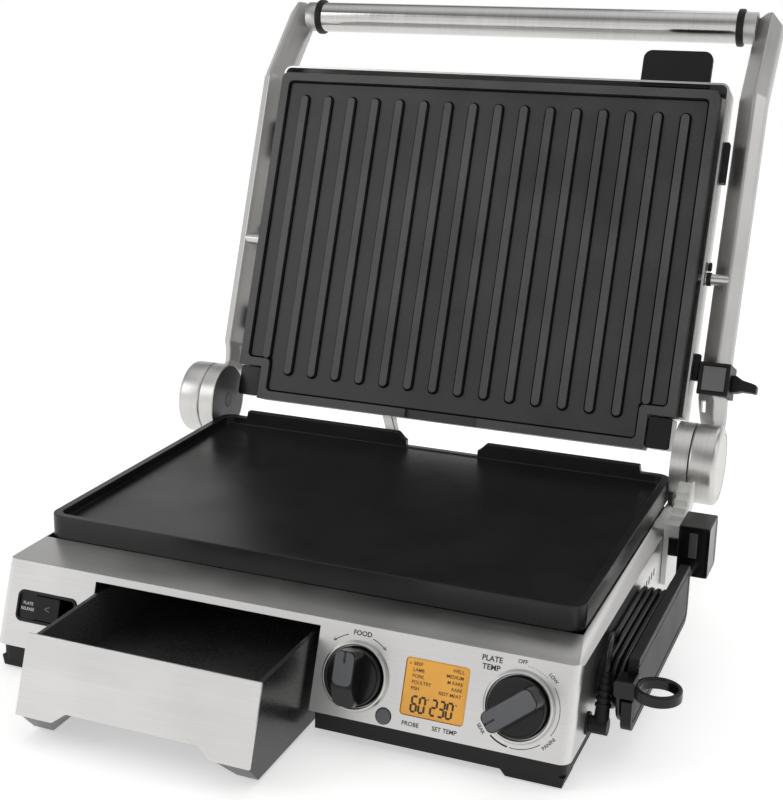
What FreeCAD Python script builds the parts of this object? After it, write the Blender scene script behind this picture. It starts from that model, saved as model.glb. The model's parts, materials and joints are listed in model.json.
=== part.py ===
import FreeCAD, Part
import math
import os

from FreeCAD import Vector as V

# Panini press with a flat lower griddle, a ribbed floating upper plate, a drip tray and a wound probe lead.
# Millimetres. X to the user's right, Y to the back, Z up, floor at Z = 0.

# ---- driving dimensions -------------------------------------------------------------------------
GRID_W = 328.0            # lower griddle, left to right
GRID_D = 232.0            # lower griddle, front to back
GRID_FRONT_Y = -118.0     # front edge of the lower griddle
GRID_TOP = 80.7           # rim of the lower griddle
GRID_SKIRT = 66.3         # bottom edge of the lower griddle
GRID_RECESS = 5.2         # depth of the cooking surface under the rim
RIM = 5.0                 # rim width of both plates
CAST = 3.6                # wall of both cast plates
GAP_X0, GAP_X1 = -20.0, 32.0      # drain gap in the griddle's back wall
PLATE_GAP = 0.6           # griddle to housing, all round

SIDE_MARGIN = 8.0         # housing beyond the griddle, each side
HOUSING_W = GRID_W + 2 * SIDE_MARGIN    # lower housing over its side walls
SHEET = 1.5               # stainless sheet
PANEL_TOP_Y = -148.6      # top edge of the sloping control panel
PANEL_TOP_Z = 63.0
PANEL_H = 50.1            # panel height along its slope
PANEL_SLOPE = 70.3        # degrees from the floor
HOUSING_BOTTOM = PANEL_TOP_Z - PANEL_H * math.sin(math.radians(PANEL_SLOPE))

LID_Y = GRID_FRONT_Y + GRID_D - 1.6     # origin of the lid's own frame
LID_Z = GRID_TOP + 10.4
HUB_Y = LID_Y + 8.0       # lid hinge axis, behind and below that origin
HUB_Z = LID_Z - 2.0
HUB_R = 26.0
HUB_SPLIT = HOUSING_W / 2 + 4.0         # the fixed ring is inside this, the arm outside
HINGE_PIN_R = 5.0
LID_OPEN = 110.2          # lid angle shown, 0 is closed

UP_W = GRID_W - 8.0       # upper plate, left to right
UP_NEAR = 5.0             # its edges, measured out along the lid
SPOUT_END = -4.5            # the drain spout stops here, clear of the griddle when the lid lies flat
UP_FAR = UP_NEAR + GRID_D + 11.0
UP_FACE = -7.7            # rim of the upper plate, behind the lid's origin
UP_SKIRT = -20.0
RIB_COUNT = 16
RIB_PITCH = (UP_W - 41.0) / (RIB_COUNT - 1)
RIB_W = 5.4
RIB_H = 2.8
GROOVE_W = 1.3            # cast groove round each rib and along the rim
GROOVE_D = 1.3
LID_W = UP_W + 8.4        # upper steel housing
LID_FAR = UP_FAR + 8.0
LID_BACK = -46.0
LID_EDGE = -18.5          # front edge of the upper steel housing
TILT_R = 125.0            # floating pivot of the upper grill
TILT_N = -30.0
TILT_PIN_R = 4.0
TAB_X0, TAB_X1 = 103.0, 150.0    # plate-release tab at the lid's far edge

ARM_GAP = 4.2             # upper housing to arm
ARM_W = 19.2
ARM_IN = LID_W / 2 + ARM_GAP            # arm faces, from the middle plane
ARM_RIDGE = ARM_IN + 9.9
ARM_OUT = ARM_IN + ARM_W
HUB_OUT = ARM_OUT + 5.8
ARM_FRONT = -25.0
ARM_BACK = -44.0
BEND_R = LID_FAR - 6.0
HANDLE_R = BEND_R + 58.0  # handle tube axis
HANDLE_N = -62.0
TUBE_R = 11.0
TUBE_END = ARM_IN - 11.2  # where the tube meets its collar
ELBOW_CUT = 12.0          # corner taken off the top of each arm

TRAY_X0 = -110.2          # drip tray front
TRAY_X1 = 28.2
TRAY_LENGTH = 245.0
TRAY_OUT = 69.0           # how far the tray is drawn out
TRAY_GAP = 0.8
TRAY_TOP = 54.5
TRAY_FLOOR = 24.6
LEG_W = 11.0              # width of the tray's legs at the floor
LEG_RAKE = 12.0           # how far their fronts slope back

RUN = 0.05                # running fit, radial
CLEAR = 0.4               # free clearance between moving pieces

FOOD_X, FOOD_S = 53.1, 27.2
TEMP_X, TEMP_S = 142.7, 25.7
DIAL_R = 16.3
WING_TOP = 20.5           # grip bar of a dial, above the panel
BEZEL_R = 19.2
BUTTON_X, BUTTON_S = 71.6, 44.6
BUTTON_R = 4.1
BUTTON_PROUD = 1.4        # also its travel
GLASS_X0, GLASS_X1, GLASS_S0, GLASS_S1 = 80.0, 115.0, 11.3, 41.7
RELEASE_X0, RELEASE_X1, RELEASE_S0, RELEASE_S1 = -161.0, -121.0, 16.5, 35.0
PAN_TOP = 17.5            # top of the base pan's walls
RACK_Y, RACK_Z = HUB_Y - 35.6, HUB_Z - 1.8    # upper end of the stepped rack
SCREW_R = 1.7
FOOT_Z = 1.2              # underside of the moulded feet

LEAD_R = 1.7              # probe lead
SPOOL_Y0, SPOOL_Y1, SPOOL_Z = -105.0, -14.0, 38.0
SPOOL_R = 12.0
SPOOL_FLANGE_X = HOUSING_W / 2 + 18.0
FLANGE_T = 5.5
PROBE_X, PROBE_Z = SPOOL_FLANGE_X + FLANGE_T / 2, 48.5
SPIKE_R = 1.6

LID_TURN = 180.0 - LID_OPEN
LID_COS = math.cos(math.radians(LID_TURN))
LID_SIN = math.sin(math.radians(LID_TURN))
AXIS_R = (HUB_Y - LID_Y) * LID_COS + (HUB_Z - LID_Z) * LID_SIN    # the hinge axis in the lid's frame
AXIS_N = (HUB_Z - LID_Z) * LID_COS - (HUB_Y - LID_Y) * LID_SIN

os.makedirs("parts", exist_ok=True)
nodes = {}


# ---- helpers ------------------------------------------------------------------------------------
def box(x0, x1, y0, y1, z0, z1):
    return Part.makeBox(x1 - x0, y1 - y0, z1 - z0, V(x0, y0, z0))


def fillet(shape, radius, pick):
    return shape.makeFillet(radius, [e for e in shape.Edges if pick(e)])


def along(axis):
    """Picks the straight edges that run along one axis."""
    def pick(edge):
        if len(edge.Vertexes) < 2:
            return False
        d = edge.Vertexes[1].Point - edge.Vertexes[0].Point
        return d.Length > 0 and abs(abs(d.dot(axis)) - d.Length) < 1e-6
    return pick


def rbox(x0, x1, y0, y1, z0, z1, r):
    return fillet(box(x0, x1, y0, y1, z0, z1), r, along(V(0, 0, 1)))


def rod(start, direction, radius, length):
    return Part.makeCylinder(radius, length, V(*start), V(*direction))


def rod_x(y, z, radius, x0, x1):
    lo, hi = min(x0, x1), max(x0, x1)
    return Part.makeCylinder(radius, hi - lo, V(lo, y, z), V(1, 0, 0))


def prism(points, vector):
    wire = Part.makePolygon([V(*p) for p in points] + [V(*points[0])])
    return Part.Face(wire).extrude(V(*vector))


def prism_x(points, x0, x1):
    return prism([(x0, y, z) for y, z in points], (x1 - x0, 0, 0))


def fuse(*shapes):
    out = shapes[0]
    for s in shapes[1:]:
        out = out.fuse(s)
    return out.removeSplitter()


def cut(shape, *tools):
    for tool in tools:
        shape = shape.cut(tool)
    return shape


def mirror(shape):
    return shape.mirror(V(0, 0, 0), V(1, 0, 0))


def panel(shape):
    """From the panel's own frame (x, up the slope, outwards) to the object's."""
    out = shape.copy()
    out.rotate(V(0, 0, 0), V(1, 0, 0), PANEL_SLOPE)
    out.translate(V(0, PANEL_TOP_Y, PANEL_TOP_Z))
    return out


def lid(shape):
    """From the lid's own frame (x, out from the hinge, plate side up) to the open lid."""
    out = shape.copy()
    out.rotate(V(0, 0, 0), V(1, 0, 0), LID_TURN)
    out.translate(V(0, LID_Y, LID_Z))
    return out


def drawn(shape):
    out = shape.copy()
    out.translate(V(0, -TRAY_OUT, 0))
    return out


def panel_y(z):
    """Y of the panel's outer face at a height."""
    return PANEL_TOP_Y - (PANEL_TOP_Z - z) / math.tan(math.radians(PANEL_SLOPE))


def route(points, radius, share=0.45):
    """A round tube along straight runs joined by tangent arcs."""
    pts = [V(*p) for p in points]
    edges = []
    here = pts[0]
    for a, b, c in zip(pts, pts[1:], pts[2:]):
        u = (b - a).normalize()
        w = (c - b).normalize()
        turn = u.getAngle(w)
        bend = share * min((b - a).Length, (c - b).Length) / math.tan(turn / 2)
        reach = bend * math.tan(turn / 2)
        start, end = b - u * reach, b + w * reach
        inward = (w - u).normalize()
        middle = b + inward * (bend / math.cos(turn / 2) - bend)
        if (start - here).Length > 1e-6:
            edges.append(Part.LineSegment(here, start).toShape())
        edges.append(Part.Arc(start, middle, end).toShape())
        print("bend radius %.1f mm" % bend)
        here = end
    edges.append(Part.LineSegment(here, pts[-1]).toShape())
    path = Part.Wire(edges)
    ring = Part.Wire(Part.makeCircle(radius, pts[0], (pts[1] - pts[0]).normalize()))
    tube = path.makePipeShell([ring], True, True)
    print("length %.1f mm, volume ratio %.4f" % (path.Length,
                                                 tube.Volume / (path.Length * math.pi * radius ** 2)))
    return tube


def serpentine(x_end, rows, level, radius):
    """A heating tube: straight rows along X joined by half circles, with both ends at -X."""
    edges = []
    side = 1
    for i, y in enumerate(rows):
        edges.append(Part.LineSegment(V(-side * x_end, y, level), V(side * x_end, y, level)).toShape())
        if i + 1 < len(rows):
            half = (rows[i + 1] - y) / 2
            edges.append(Part.Arc(V(side * x_end, y, level), V(side * (x_end + half), y + half, level),
                                  V(side * x_end, rows[i + 1], level)).toShape())
        side = -side
    path = Part.Wire(edges)
    ring = Part.Wire(Part.makeCircle(radius, V(-x_end, rows[0], level), V(1, 0, 0)))
    return path.makePipeShell([ring], True, True)


def stadium(y0, y1, z, radius, x0, x1):
    return fuse(rod_x(y0, z, radius, x0, x1), rod_x(y1, z, radius, x0, x1),
                box(x0, x1, y0, y1, z - radius, z + radius))


def keep(name, shape):
    nodes[name] = shape


# ---- derived places -----------------------------------------------------------------------------
GX = GRID_W / 2
GY0 = GRID_FRONT_Y
GY1 = GRID_FRONT_Y + GRID_D
HX = HOUSING_W / 2
UX = UP_W / 2
LX = LID_W / 2
FLOOR = GRID_TOP - GRID_RECESS
BACK_Y = GY1 + 1.6
BAY_BACK = PANEL_TOP_Y + TRAY_LENGTH
BAY_X0, BAY_X1 = TRAY_X0 - 4.0, TRAY_X1 + 4.0
BAY_TOP = TRAY_TOP + 2.5
NOTCH_X, NOTCH_R = UX - 18.0, 28.5
SCREWS = [(x, y) for x in (-HX + 12, BAY_X0 - 12, BAY_X1 + 12, HX - 12) for y in (GY0 - 2, GY1 - 34)]


# ---- base ---------------------------------------------------------------------------------------
def make_base_pan():
    wall_x, front, back = HX - 2.5, panel_y(HOUSING_BOTTOM) + 2.5, BACK_Y - SHEET - 0.5
    pan = cut(rbox(-wall_x, wall_x, front, back, 5.0, PAN_TOP, 6.0),
              rbox(-wall_x + 2.5, wall_x - 2.5, front + 2.5, back - 2.5, 7.5, PAN_TOP + 1, 3.5))
    pan = fuse(pan, box(BAY_X0 - 2.4, BAY_X1 + 2.4, front + 0.5, BAY_BACK + 2.4, 5.0, PAN_TOP))
    pan = cut(pan, box(BAY_X0, BAY_X1, front - 5, BAY_BACK, 0, PAN_TOP + 1),
              box(BUTTON_X - 5, BUTTON_X + 5, front - 1, front + 7, HOUSING_BOTTOM - 1.2, PAN_TOP + 1))
    pan = cut(pan, *[rod((x, y, 4), (0, 0, 1), SCREW_R, 5) for x, y in SCREWS])
    foot_w = 24.0
    for side in (-1, 1):
        for y, lean in ((front + 0.6, 1), (back - 22.6, 0)):
            outer, inner = side * wall_x, side * (wall_x - foot_w - (12 if side > 0 and lean else 0))
            tip_out, tip_in = outer - side * 1.2, inner + side * 5.0
            pts = [(outer, y, 7.0), (tip_out, y, FOOT_Z), (tip_in, y, FOOT_Z), (inner, y, 7.0)]
            pan = fuse(pan, prism(pts, (0, 22.0, 0)))
    keep("base_pan", pan)
    pads = []
    for side in (-1, 1):
        for y in (front + 9.0, back - 13.0):
            pads.append(rbox(side * (wall_x - 11) - 5, side * (wall_x - 11) + 5, y, y + 9, 0, FOOT_Z, 3.0))
    keep("rubber_feet", Part.makeCompound(pads))


def housing_solid(inset, y_back, bottom):
    """The lower housing's outer form, or the space inside it."""
    seat = GRID_SKIRT + 0.2 - inset
    front_low = panel_y(bottom) + inset / math.sin(math.radians(PANEL_SLOPE))
    top_z = PANEL_TOP_Z - inset
    front_top = panel_y(top_z) + inset / math.sin(math.radians(PANEL_SLOPE))
    w = HX - inset
    body = prism_x([(front_low, bottom), (front_top, top_z), (GY0 - 1.0, seat), (y_back, seat),
                    (y_back, bottom)],
                   -w, w)
    slope = along(V(0, math.cos(math.radians(PANEL_SLOPE)), math.sin(math.radians(PANEL_SLOPE))))
    body = fillet(body, 6.0, lambda e: slope(e) and abs(e.CenterOfMass.x) > w - 1)
    drop = 4.5
    for side in (-1, 1):
        wedge = prism([(side * (w + 1), y_back + 1, seat - drop - drop / 7),
                       (side * (w + 1), y_back + 1, seat + 2),
                       (side * (w - 7), y_back + 1, seat + 2), (side * (w - 7), y_back + 1, seat)],
                      (0, front_low - y_back - 2, 0))
        body = body.cut(wedge)
    return body


def make_housing():
    shell = cut(housing_solid(0, BACK_Y, HOUSING_BOTTOM), housing_solid(SHEET, BACK_Y - SHEET,
                                                                        HOUSING_BOTTOM - 1))
    shell = cut(shell,
                box(-GX - PLATE_GAP, GX + PLATE_GAP, GY0 - PLATE_GAP, BACK_Y + 1, 58.0, 90.0),
                panel(box(TRAY_X0 - TRAY_GAP, TRAY_X1 + TRAY_GAP + 0.5, -PANEL_H - 8, -4.3, -6, 4)),
                panel(rbox(RELEASE_X0, RELEASE_X1, -RELEASE_S1, -RELEASE_S0, -6, 4, 4.0)),
                panel(rbox(GLASS_X0, GLASS_X1, -GLASS_S1, -GLASS_S0, -6, 4, 2.0)),
                panel(rod((BUTTON_X, -BUTTON_S, -6), (0, 0, 1), BUTTON_R + CLEAR, 10)))
    for x, s in ((FOOD_X, FOOD_S), (TEMP_X, TEMP_S)):
        shell = cut(shell, panel(rod((x, -s, -6), (0, 0, 1), 6.0, 10)))
    for side in (-1, 1):
        leg = sorted((side * (GX + 0.3), side * (GX + 4.5)))
        shell = cut(shell, box(leg[0], leg[1], HUB_Y - 22.5, BACK_Y + 1, 50.0, 75.0),
                    rod_x(HUB_Y, HUB_Z, HUB_R + 0.6, side * (GX + 0.3), side * (HX + 1)))
        wall = sorted((side * (HX - 3), side * (HX + 1)))
        for i in range(5):
            y = -108.0 + 4.0 * i
            shell = cut(shell, box(wall[0], wall[1], y, y + 2, 22.0, 42.0))
        for i in range(8):
            y = -22.0 + 7.0 * i
            shell = cut(shell, box(wall[0], wall[1], y, y + 3.4, 44.0, 49.0))
    shell = cut(shell, rod_x(SPOOL_Y0 - 25, 23.0, 4.6, HX - 4, HX + 2))
    keep("lower_housing", shell)
    cover = rbox(-150, 150, 12.0, 50.0, 0, 3.2, 5.0)
    for i in range(14):
        cover = cut(cover, box(-20 + 9 * i, -15.5 + 9 * i, 20, 42, -1, 4))
    cover.rotate(V(0, 0, 0), V(1, 0, 0), 90)
    cover.translate(V(0, BACK_Y + 3.2, 0))
    keep("rear_cover", cover)
    gland = fuse(rod((-110, BACK_Y + 3.2, 31), (0, 1, 0), 8.0, 3.0),
                 rod((-110, BACK_Y + 6.2, 31), (0, 1, 0), 6.0, 6.0))
    keep("mains_gland", gland.cut(rod((-110, BACK_Y + 5.0, 31), (0, 1, 0), 3.6, 8.0)))


def make_tray_bay():
    front = PANEL_TOP_Y + 2.4
    bay = cut(box(BAY_X0 + 0.1, BAY_X1 - 0.1, front, BAY_BACK - 0.1, 8.0, BAY_TOP + 1.2),
              box(BAY_X0 + 1.2, BAY_X1 - 1.2, front - 1, BAY_BACK - 1.2, 7.0, BAY_TOP),
              box(-34, 34, BAY_BACK - 22, BAY_BACK - 1.2, BAY_TOP - 1, BAY_TOP + 2))
    keep("tray_bay", bay)
    top = [(BAY_BACK - 4, BAY_TOP + 3.4), (GY1 - 1.0, GRID_SKIRT - 1.6), (GY1 - 1.0, GRID_SKIRT - 2.8),
           (BAY_BACK - 4, BAY_TOP + 2.0)]
    keep("grease_chute", fuse(prism_x(top, -30, 30), box(-31.2, -30, BAY_BACK - 4, GY1 - 1, BAY_TOP + 2,
                                                         GRID_SKIRT),
                              box(30, 31.2, BAY_BACK - 4, GY1 - 1, BAY_TOP + 2, GRID_SKIRT)))


def make_lower_plate():
    plate = rbox(-GX, GX, GY0, GY1, GRID_SKIRT, GRID_TOP, 9.0)
    field = rbox(-GX + RIM, GX - RIM, GY0 + RIM, GY1 - RIM, FLOOR, GRID_TOP + 9, 6.0)
    hollow = rbox(-GX + CAST, GX - CAST, GY0 + CAST, GY1 - CAST, GRID_SKIRT - 1, FLOOR - CAST, 6.0)
    plate = cut(plate, field, hollow)
    for side in (-1, 1):
        inner = GAP_X1 if side > 0 else -GAP_X0
        pts = [(side * inner, GRID_TOP - 1), (side * (inner + 6), GRID_TOP + 5),
               (side * (GX - 21), GRID_TOP + 5),
               (side * (GX - 20), GRID_TOP - 1)]
        plate = fuse(plate, prism([(x, GY1 - RIM, z) for x, z in pts], (0, RIM, 0)))
    plate = cut(plate, box(GAP_X0, GAP_X1, GY1 - RIM - 1, GY1 + 1, FLOOR + 0.8, GRID_TOP + 6))
    keep("lower_plate", plate)
    level = FLOOR - CAST - 3.4
    first_row, last_row = GY0 + 38, BAY_BACK - 20.4
    pitch = (last_row - first_row) / 3
    keep("lower_heating_element", serpentine(GX - 20 - pitch / 2, [first_row + i * pitch for i in range(4)],
                                             level,
                                             3.2))
    shield_z = BAY_TOP + 1.4
    shield = cut(box(-GX + 14, GX - 14, GY0 + 14, BAY_BACK - 24, shield_z, shield_z + 4.5),
                 box(-GX + 15, GX - 15, GY0 + 15, BAY_BACK - 25, shield_z + 0.8, shield_z + 6))
    keep("lower_heat_shield", shield)
    clips = []
    for side in (-1, 1):
        for y in (GY0 + 40, GY1 - 60):
            lo, hi = sorted((side * (GX - 5), side * (GX - 11)))
            clips.append(box(lo, hi, y, y + 16, 48.0, FLOOR - CAST - 0.1))
    keep("plate_clips", Part.makeCompound(clips))


def make_controls():
    keep("control_board", panel(box(BAY_X1 + 4, HX - 10, -44.5, -6.0, -16.0, -14.4)))
    module = box(GLASS_X0 - 2, GLASS_X1 + 2, -GLASS_S1 - 1.5, -GLASS_S0 + 2, -14.4, -3.0)
    keep("display_module", panel(module))
    keep("display_glass", panel(rbox(GLASS_X0 + 0.15, GLASS_X1 - 0.15, -GLASS_S1 + 0.15, -GLASS_S0 - 0.15,
                                     -3.0, 0.2, 1.85)))
    encoders = []
    for x, s in ((FOOD_X, FOOD_S), (TEMP_X, TEMP_S)):
        body = box(x - 7, x + 7, -s - 7, -s + 7, -14.4, -3.5)
        encoders.append(panel(body.cut(rod((x, -s, -11.5), (0, 0, 1), 3.0 + RUN, 10))))
    encoders.append(panel(box(BUTTON_X - 3, BUTTON_X + 3, -BUTTON_S + 0.2, -BUTTON_S + 6, -14.4, -9.0)))
    keep("dial_encoders", Part.makeCompound(encoders))
    for name, x, s in (("food_dial_bezel", FOOD_X, FOOD_S), ("temp_dial_bezel", TEMP_X, TEMP_S)):
        ring = Part.makeCone(BEZEL_R, BEZEL_R - 1.2, 3.0, V(x, -s, 0), V(0, 0, 1))
        keep(name, panel(ring.cut(rod((x, -s, -1), (0, 0, 1), DIAL_R + CLEAR, 6))))
    bezel = rbox(RELEASE_X0 + 0.2, RELEASE_X1 - 0.2, -RELEASE_S1 + 0.2, -RELEASE_S0 - 0.2, -11.0, 0.8, 3.8)
    bezel = bezel.cut(rbox(RELEASE_X0 + 1.8, RELEASE_X1 - 1.8, -RELEASE_S1 + 1.8, -RELEASE_S0 - 1.8, -9.5, 2,
                           2.4))
    tab = box(RELEASE_X0 + 1.8, RELEASE_X0 + 12.4, -RELEASE_S1 + 1.8, -RELEASE_S0 - 1.8, -9.5, -0.6)
    keep("release_bezel", panel(fuse(bezel, tab)))
    board = box(BAY_X1 + 10, HX - 20, 10, GY1 - 30, 15.0, 16.6)
    parts = fuse(board, box(60, 84, 25, 55, 16.6, 36), box(96, 120, 22, 40, 16.6, 32),
                 box(96, 118, 50, 70, 16.6, 30))
    keep("power_board", parts)


def make_hinge_base():
    for name, side in (("left", -1), ("right", 1)):
        x0, x1 = sorted((side * (GX + 0.6), side * (GX + 4.0)))
        disc = rod_x(HUB_Y, HUB_Z, HUB_R - 1.5, x0, x1)
        leg = box(x0, x1, HUB_Y - 21, BACK_Y - SHEET - 0.3, 21.0, HUB_Z - 5)
        keep("hinge_bracket_" + name, fuse(disc, leg).cut(rod_x(HUB_Y, HUB_Z, HINGE_PIN_R, x0 - 1, x1 + 1)))
        x2, x3 = side * (GX + 0.9), side * (HUB_SPLIT - 0.3)
        ring = cut(rod_x(HUB_Y, HUB_Z, HUB_R, x2, x3),
                   rod_x(HUB_Y, HUB_Z, HUB_R - 1.4, side * GX, side * (GX + 4.05)),
                   rod_x(HUB_Y, HUB_Z, HINGE_PIN_R, side * GX, x3 + side))
        slot = sorted((side * (GX + 0.5), side * (GX + 4.05)))
        keep("hinge_ring_" + name, cut(ring, box(slot[0], slot[1], HUB_Y - 21.1, BACK_Y - SHEET - 0.2, 20.0,
                                                 HUB_Z)))
    keep("hinge_pins", Part.makeCompound([rod_x(HUB_Y, HUB_Z, HINGE_PIN_R, s * (GX + 0.6),
                                                s * (HUB_SPLIT + 11.4))
                                          for s in (-1, 1)]))


def make_height_rack():
    steps, rise, run = 5, 3.6, 5.0
    top_y, top_z = RACK_Y, RACK_Z
    x0, x1 = HX + 2.0, HX + 10.0
    pts = [(top_y, top_z)]
    for i in range(steps):
        pts.append((top_y - run * (i + 1), top_z - rise * i))
        pts.append((top_y - run * (i + 1), top_z - rise * (i + 1)))
    low_y, low_z = pts[-1]
    pts += [(low_y, low_z - 5), (low_y + 4, low_z - 9), (top_y, top_z - 14)]
    bar = prism_x(pts, x0, x1)
    rail = prism_x([(y, z + 1.0) for y, z in (pts[0], pts[-4])] + [(low_y - 4, low_z), (low_y - 4, low_z - 6),
                                                                   (low_y + 4, low_z - 9),
                                                                   (top_y, top_z - 14)],
                   x1, x1 + 1.4)
    foot = box(HX - 6.0, x1 + 1.4, low_y - 9, low_y, GRID_SKIRT + 0.5, GRID_SKIRT + 3.6)
    side = box(HX + 0.3, x0 + 1.4, low_y - 9, low_y + 8, 30.0, GRID_SKIRT + 2)
    web = prism([(HX + 0.3, low_y - 9, 42), (HX + 0.3, low_y - 9, 67), (x1 + 1.4, low_y - 9, 67)],
                (0, 1.6, 0))
    keep("height_rack", fuse(bar, rail, foot, side, web))
    y0 = low_y - 26
    block = fillet(box(HX + 12, HX + 31, y0, y0 + 28, 45, 77), 2.0, along(V(0, 0, 1)))
    stem = box(x0 + 1.45, HX + 12, low_y - 7.2, low_y - 0.5, 50, 62)
    block = fuse(block, stem).cut(rod((PROBE_X, y0 - 1, PROBE_Z), (0, 1, 0), SPIKE_R + 0.3, 14))
    keep("probe_rest_block", block)
    return y0


def make_probe(rest_y):
    core = stadium(SPOOL_Y0, SPOOL_Y1, SPOOL_Z, SPOOL_R, HX + 0.05, SPOOL_FLANGE_X)
    x0, x1 = SPOOL_FLANGE_X, SPOOL_FLANGE_X + FLANGE_T
    front, back = SPOOL_Y0 - 31, SPOOL_Y1 + 32
    flange = fillet(box(x0, x1, front, back, 24.0, 61.0), 7.0, along(V(1, 0, 0)))
    flange = cut(flange, box(x0 - 1, x1 + 1, front - 1, front + 12.2, 42.0, 62.0),
                 rod((PROBE_X, front, PROBE_Z), (0, 1, 0), SPIKE_R + 0.3, back - front + 2))
    keep("probe_spool", fuse(core, flange))
    handle_y = front - 1.0
    grip = fillet(box(PROBE_X - 7, PROBE_X + 4.0, handle_y, handle_y + 12.4, PROBE_Z - 4.5, PROBE_Z + 4.9),
                  1.6,
                  along(V(0, 1, 0)))
    centre = (PROBE_X + 14.6, handle_y + 5.0, PROBE_Z - 2.6)
    loop = rod(centre, (0, 0, 1), 12.2, 6.0)
    hole = rod((centre[0], centre[1], centre[2] - 1), (0, 0, 1), 8.2, 8.0)
    keep("probe_handle", fuse(grip, loop.cut(hole)))
    keep("probe_spike", rod((PROBE_X, handle_y + 12.4, PROBE_Z), (0, 1, 0), SPIKE_R,
                            rest_y + 11 - handle_y - 12.4))
    plug_y = SPOOL_Y0 - 25
    keep("probe_socket", fuse(rod_x(plug_y, 23.0, 4.4, HX - 14, HX + 0.4),
                              rod_x(plug_y, 23.0, 6.2, HX + 0.05, HX + 1.2)))
    body = rod_x(plug_y, 23.0, 4.6, HX + 1.25, HX + 11.0)
    lean = V(0, 0.28, 0.96).normalize()
    relief = Part.makeCone(4.2, 2.6, 28.0, V(HX + 7, plug_y, 23.0), lean)
    for i in range(5):
        at = V(HX + 7, plug_y, 23.0) + lean * (10 + 3.4 * i)
        relief = relief.fuse(Part.makeCylinder(4.3 - 0.25 * i, 1.6, at, lean))
    keep("probe_plug", fuse(body, relief))
    tip = V(HX + 7, plug_y, 23.0) + lean * 28.0
    first_x = HX + 2.4
    top = SPOOL_Z + SPOOL_R + LEAD_R
    lead_in = [tuple(tip), (HX + 6.6, tip.y + 3.0, tip.z + 8.0), (HX + 5.2, tip.y + 12, tip.z + 12.5),
               (HX + 3.6, tip.y + 24, tip.z + 10.5), (HX + 2.7, tip.y + 36, top + 2.6),
               (first_x, tip.y + 47.5, top)]
    keep("probe_lead_start", route(lead_in, LEAD_R))
    coil = cut(stadium(SPOOL_Y0, SPOOL_Y1, SPOOL_Z, SPOOL_R + 2 * LEAD_R, HX + 0.7, SPOOL_FLANGE_X - 0.6),
               stadium(SPOOL_Y0, SPOOL_Y1, SPOOL_Z, SPOOL_R + 0.02, HX - 1, SPOOL_FLANGE_X + 1))
    keep("probe_lead_coil", coil)
    low = SPOOL_Z - SPOOL_R - LEAD_R
    last_x = SPOOL_FLANGE_X - 2.3
    lead_out = [(PROBE_X - 4.9, handle_y + 5, PROBE_Z - 4.5), (last_x + 0.1, handle_y + 5.6, PROBE_Z - 13.3),
                (last_x, handle_y + 11, low + 3.0), (last_x, handle_y + 21, low - 0.4),
                (last_x, SPOOL_Y0 + 5, low)]
    keep("probe_lead_end", route(lead_out, LEAD_R))


def make_tray():
    bottom, top = 2.5, TRAY_TOP
    back = PANEL_TOP_Y + TRAY_LENGTH - 2.0
    leg_z = HOUSING_BOTTOM - 0.8
    front_low, front_top = panel_y(leg_z) + 2.6, panel_y(top) + 2.6
    x0, x1 = TRAY_X0 + 1.7, TRAY_X1 - 1.7
    wall = 2.6
    outer = prism_x([(front_low + LEG_RAKE, bottom), (front_low, leg_z), (front_top, top), (back, top),
                     (back, bottom)],
                    x0, x1)
    outer = fillet(outer, 6.0, lambda e: abs(e.CenterOfMass.y - back) < 1e-6 and along(V(0, 0, 1))(e))
    inner = prism_x([(panel_y(TRAY_FLOOR) + 2.6 + wall, TRAY_FLOOR), (panel_y(top + 1) + 2.6 + wall, top + 1),
                     (back - wall, top + 1), (back - wall, TRAY_FLOOR)], x0 + wall, x1 - wall)
    tub = outer.cut(fillet(inner, 4.0, along(V(1, 0, 0))))
    for lo, hi in ((x0, x0 + LEG_W), (x1 - LEG_W, x1)):
        for y in (front_low + LEG_RAKE + 1, back - 24):
            tub = fuse(tub, prism([(lo, y, 6), (lo + 1.5, y + 2, 0.5), (hi - 1.5, y + 2, 0.5), (hi, y, 6)],
                                  (0, 18, 0)))
    arch_z = PANEL_TOP_Z - (PANEL_H - 6.0) * math.sin(math.radians(PANEL_SLOPE)) + 0.4
    half = [(LEG_W, 0), (LEG_W + 9, leg_z), (LEG_W + 17, arch_z)]
    tunnel = [(x0 + dx, z) for dx, z in half] + [(x1 - dx, z) for dx, z in reversed(half)]
    tub = tub.cut(prism([(x, front_low - 2, z) for x, z in tunnel], (0, back - front_low + 4, 0)))
    keep("tray_tub", drawn(tub))
    skin = box(TRAY_X0, TRAY_X1, -PANEL_H, -6.2, -2.3, 0)
    arch = prism([(TRAY_X0 + 21, -PANEL_H - 1, -3), (TRAY_X0 + 30, -PANEL_H + 6, -3),
                  (TRAY_X1 - 30, -PANEL_H + 6, -3), (TRAY_X1 - 21, -PANEL_H - 1, -3)], (0, 0, 4))
    keep("tray_front", drawn(panel(skin.cut(arch))))


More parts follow.
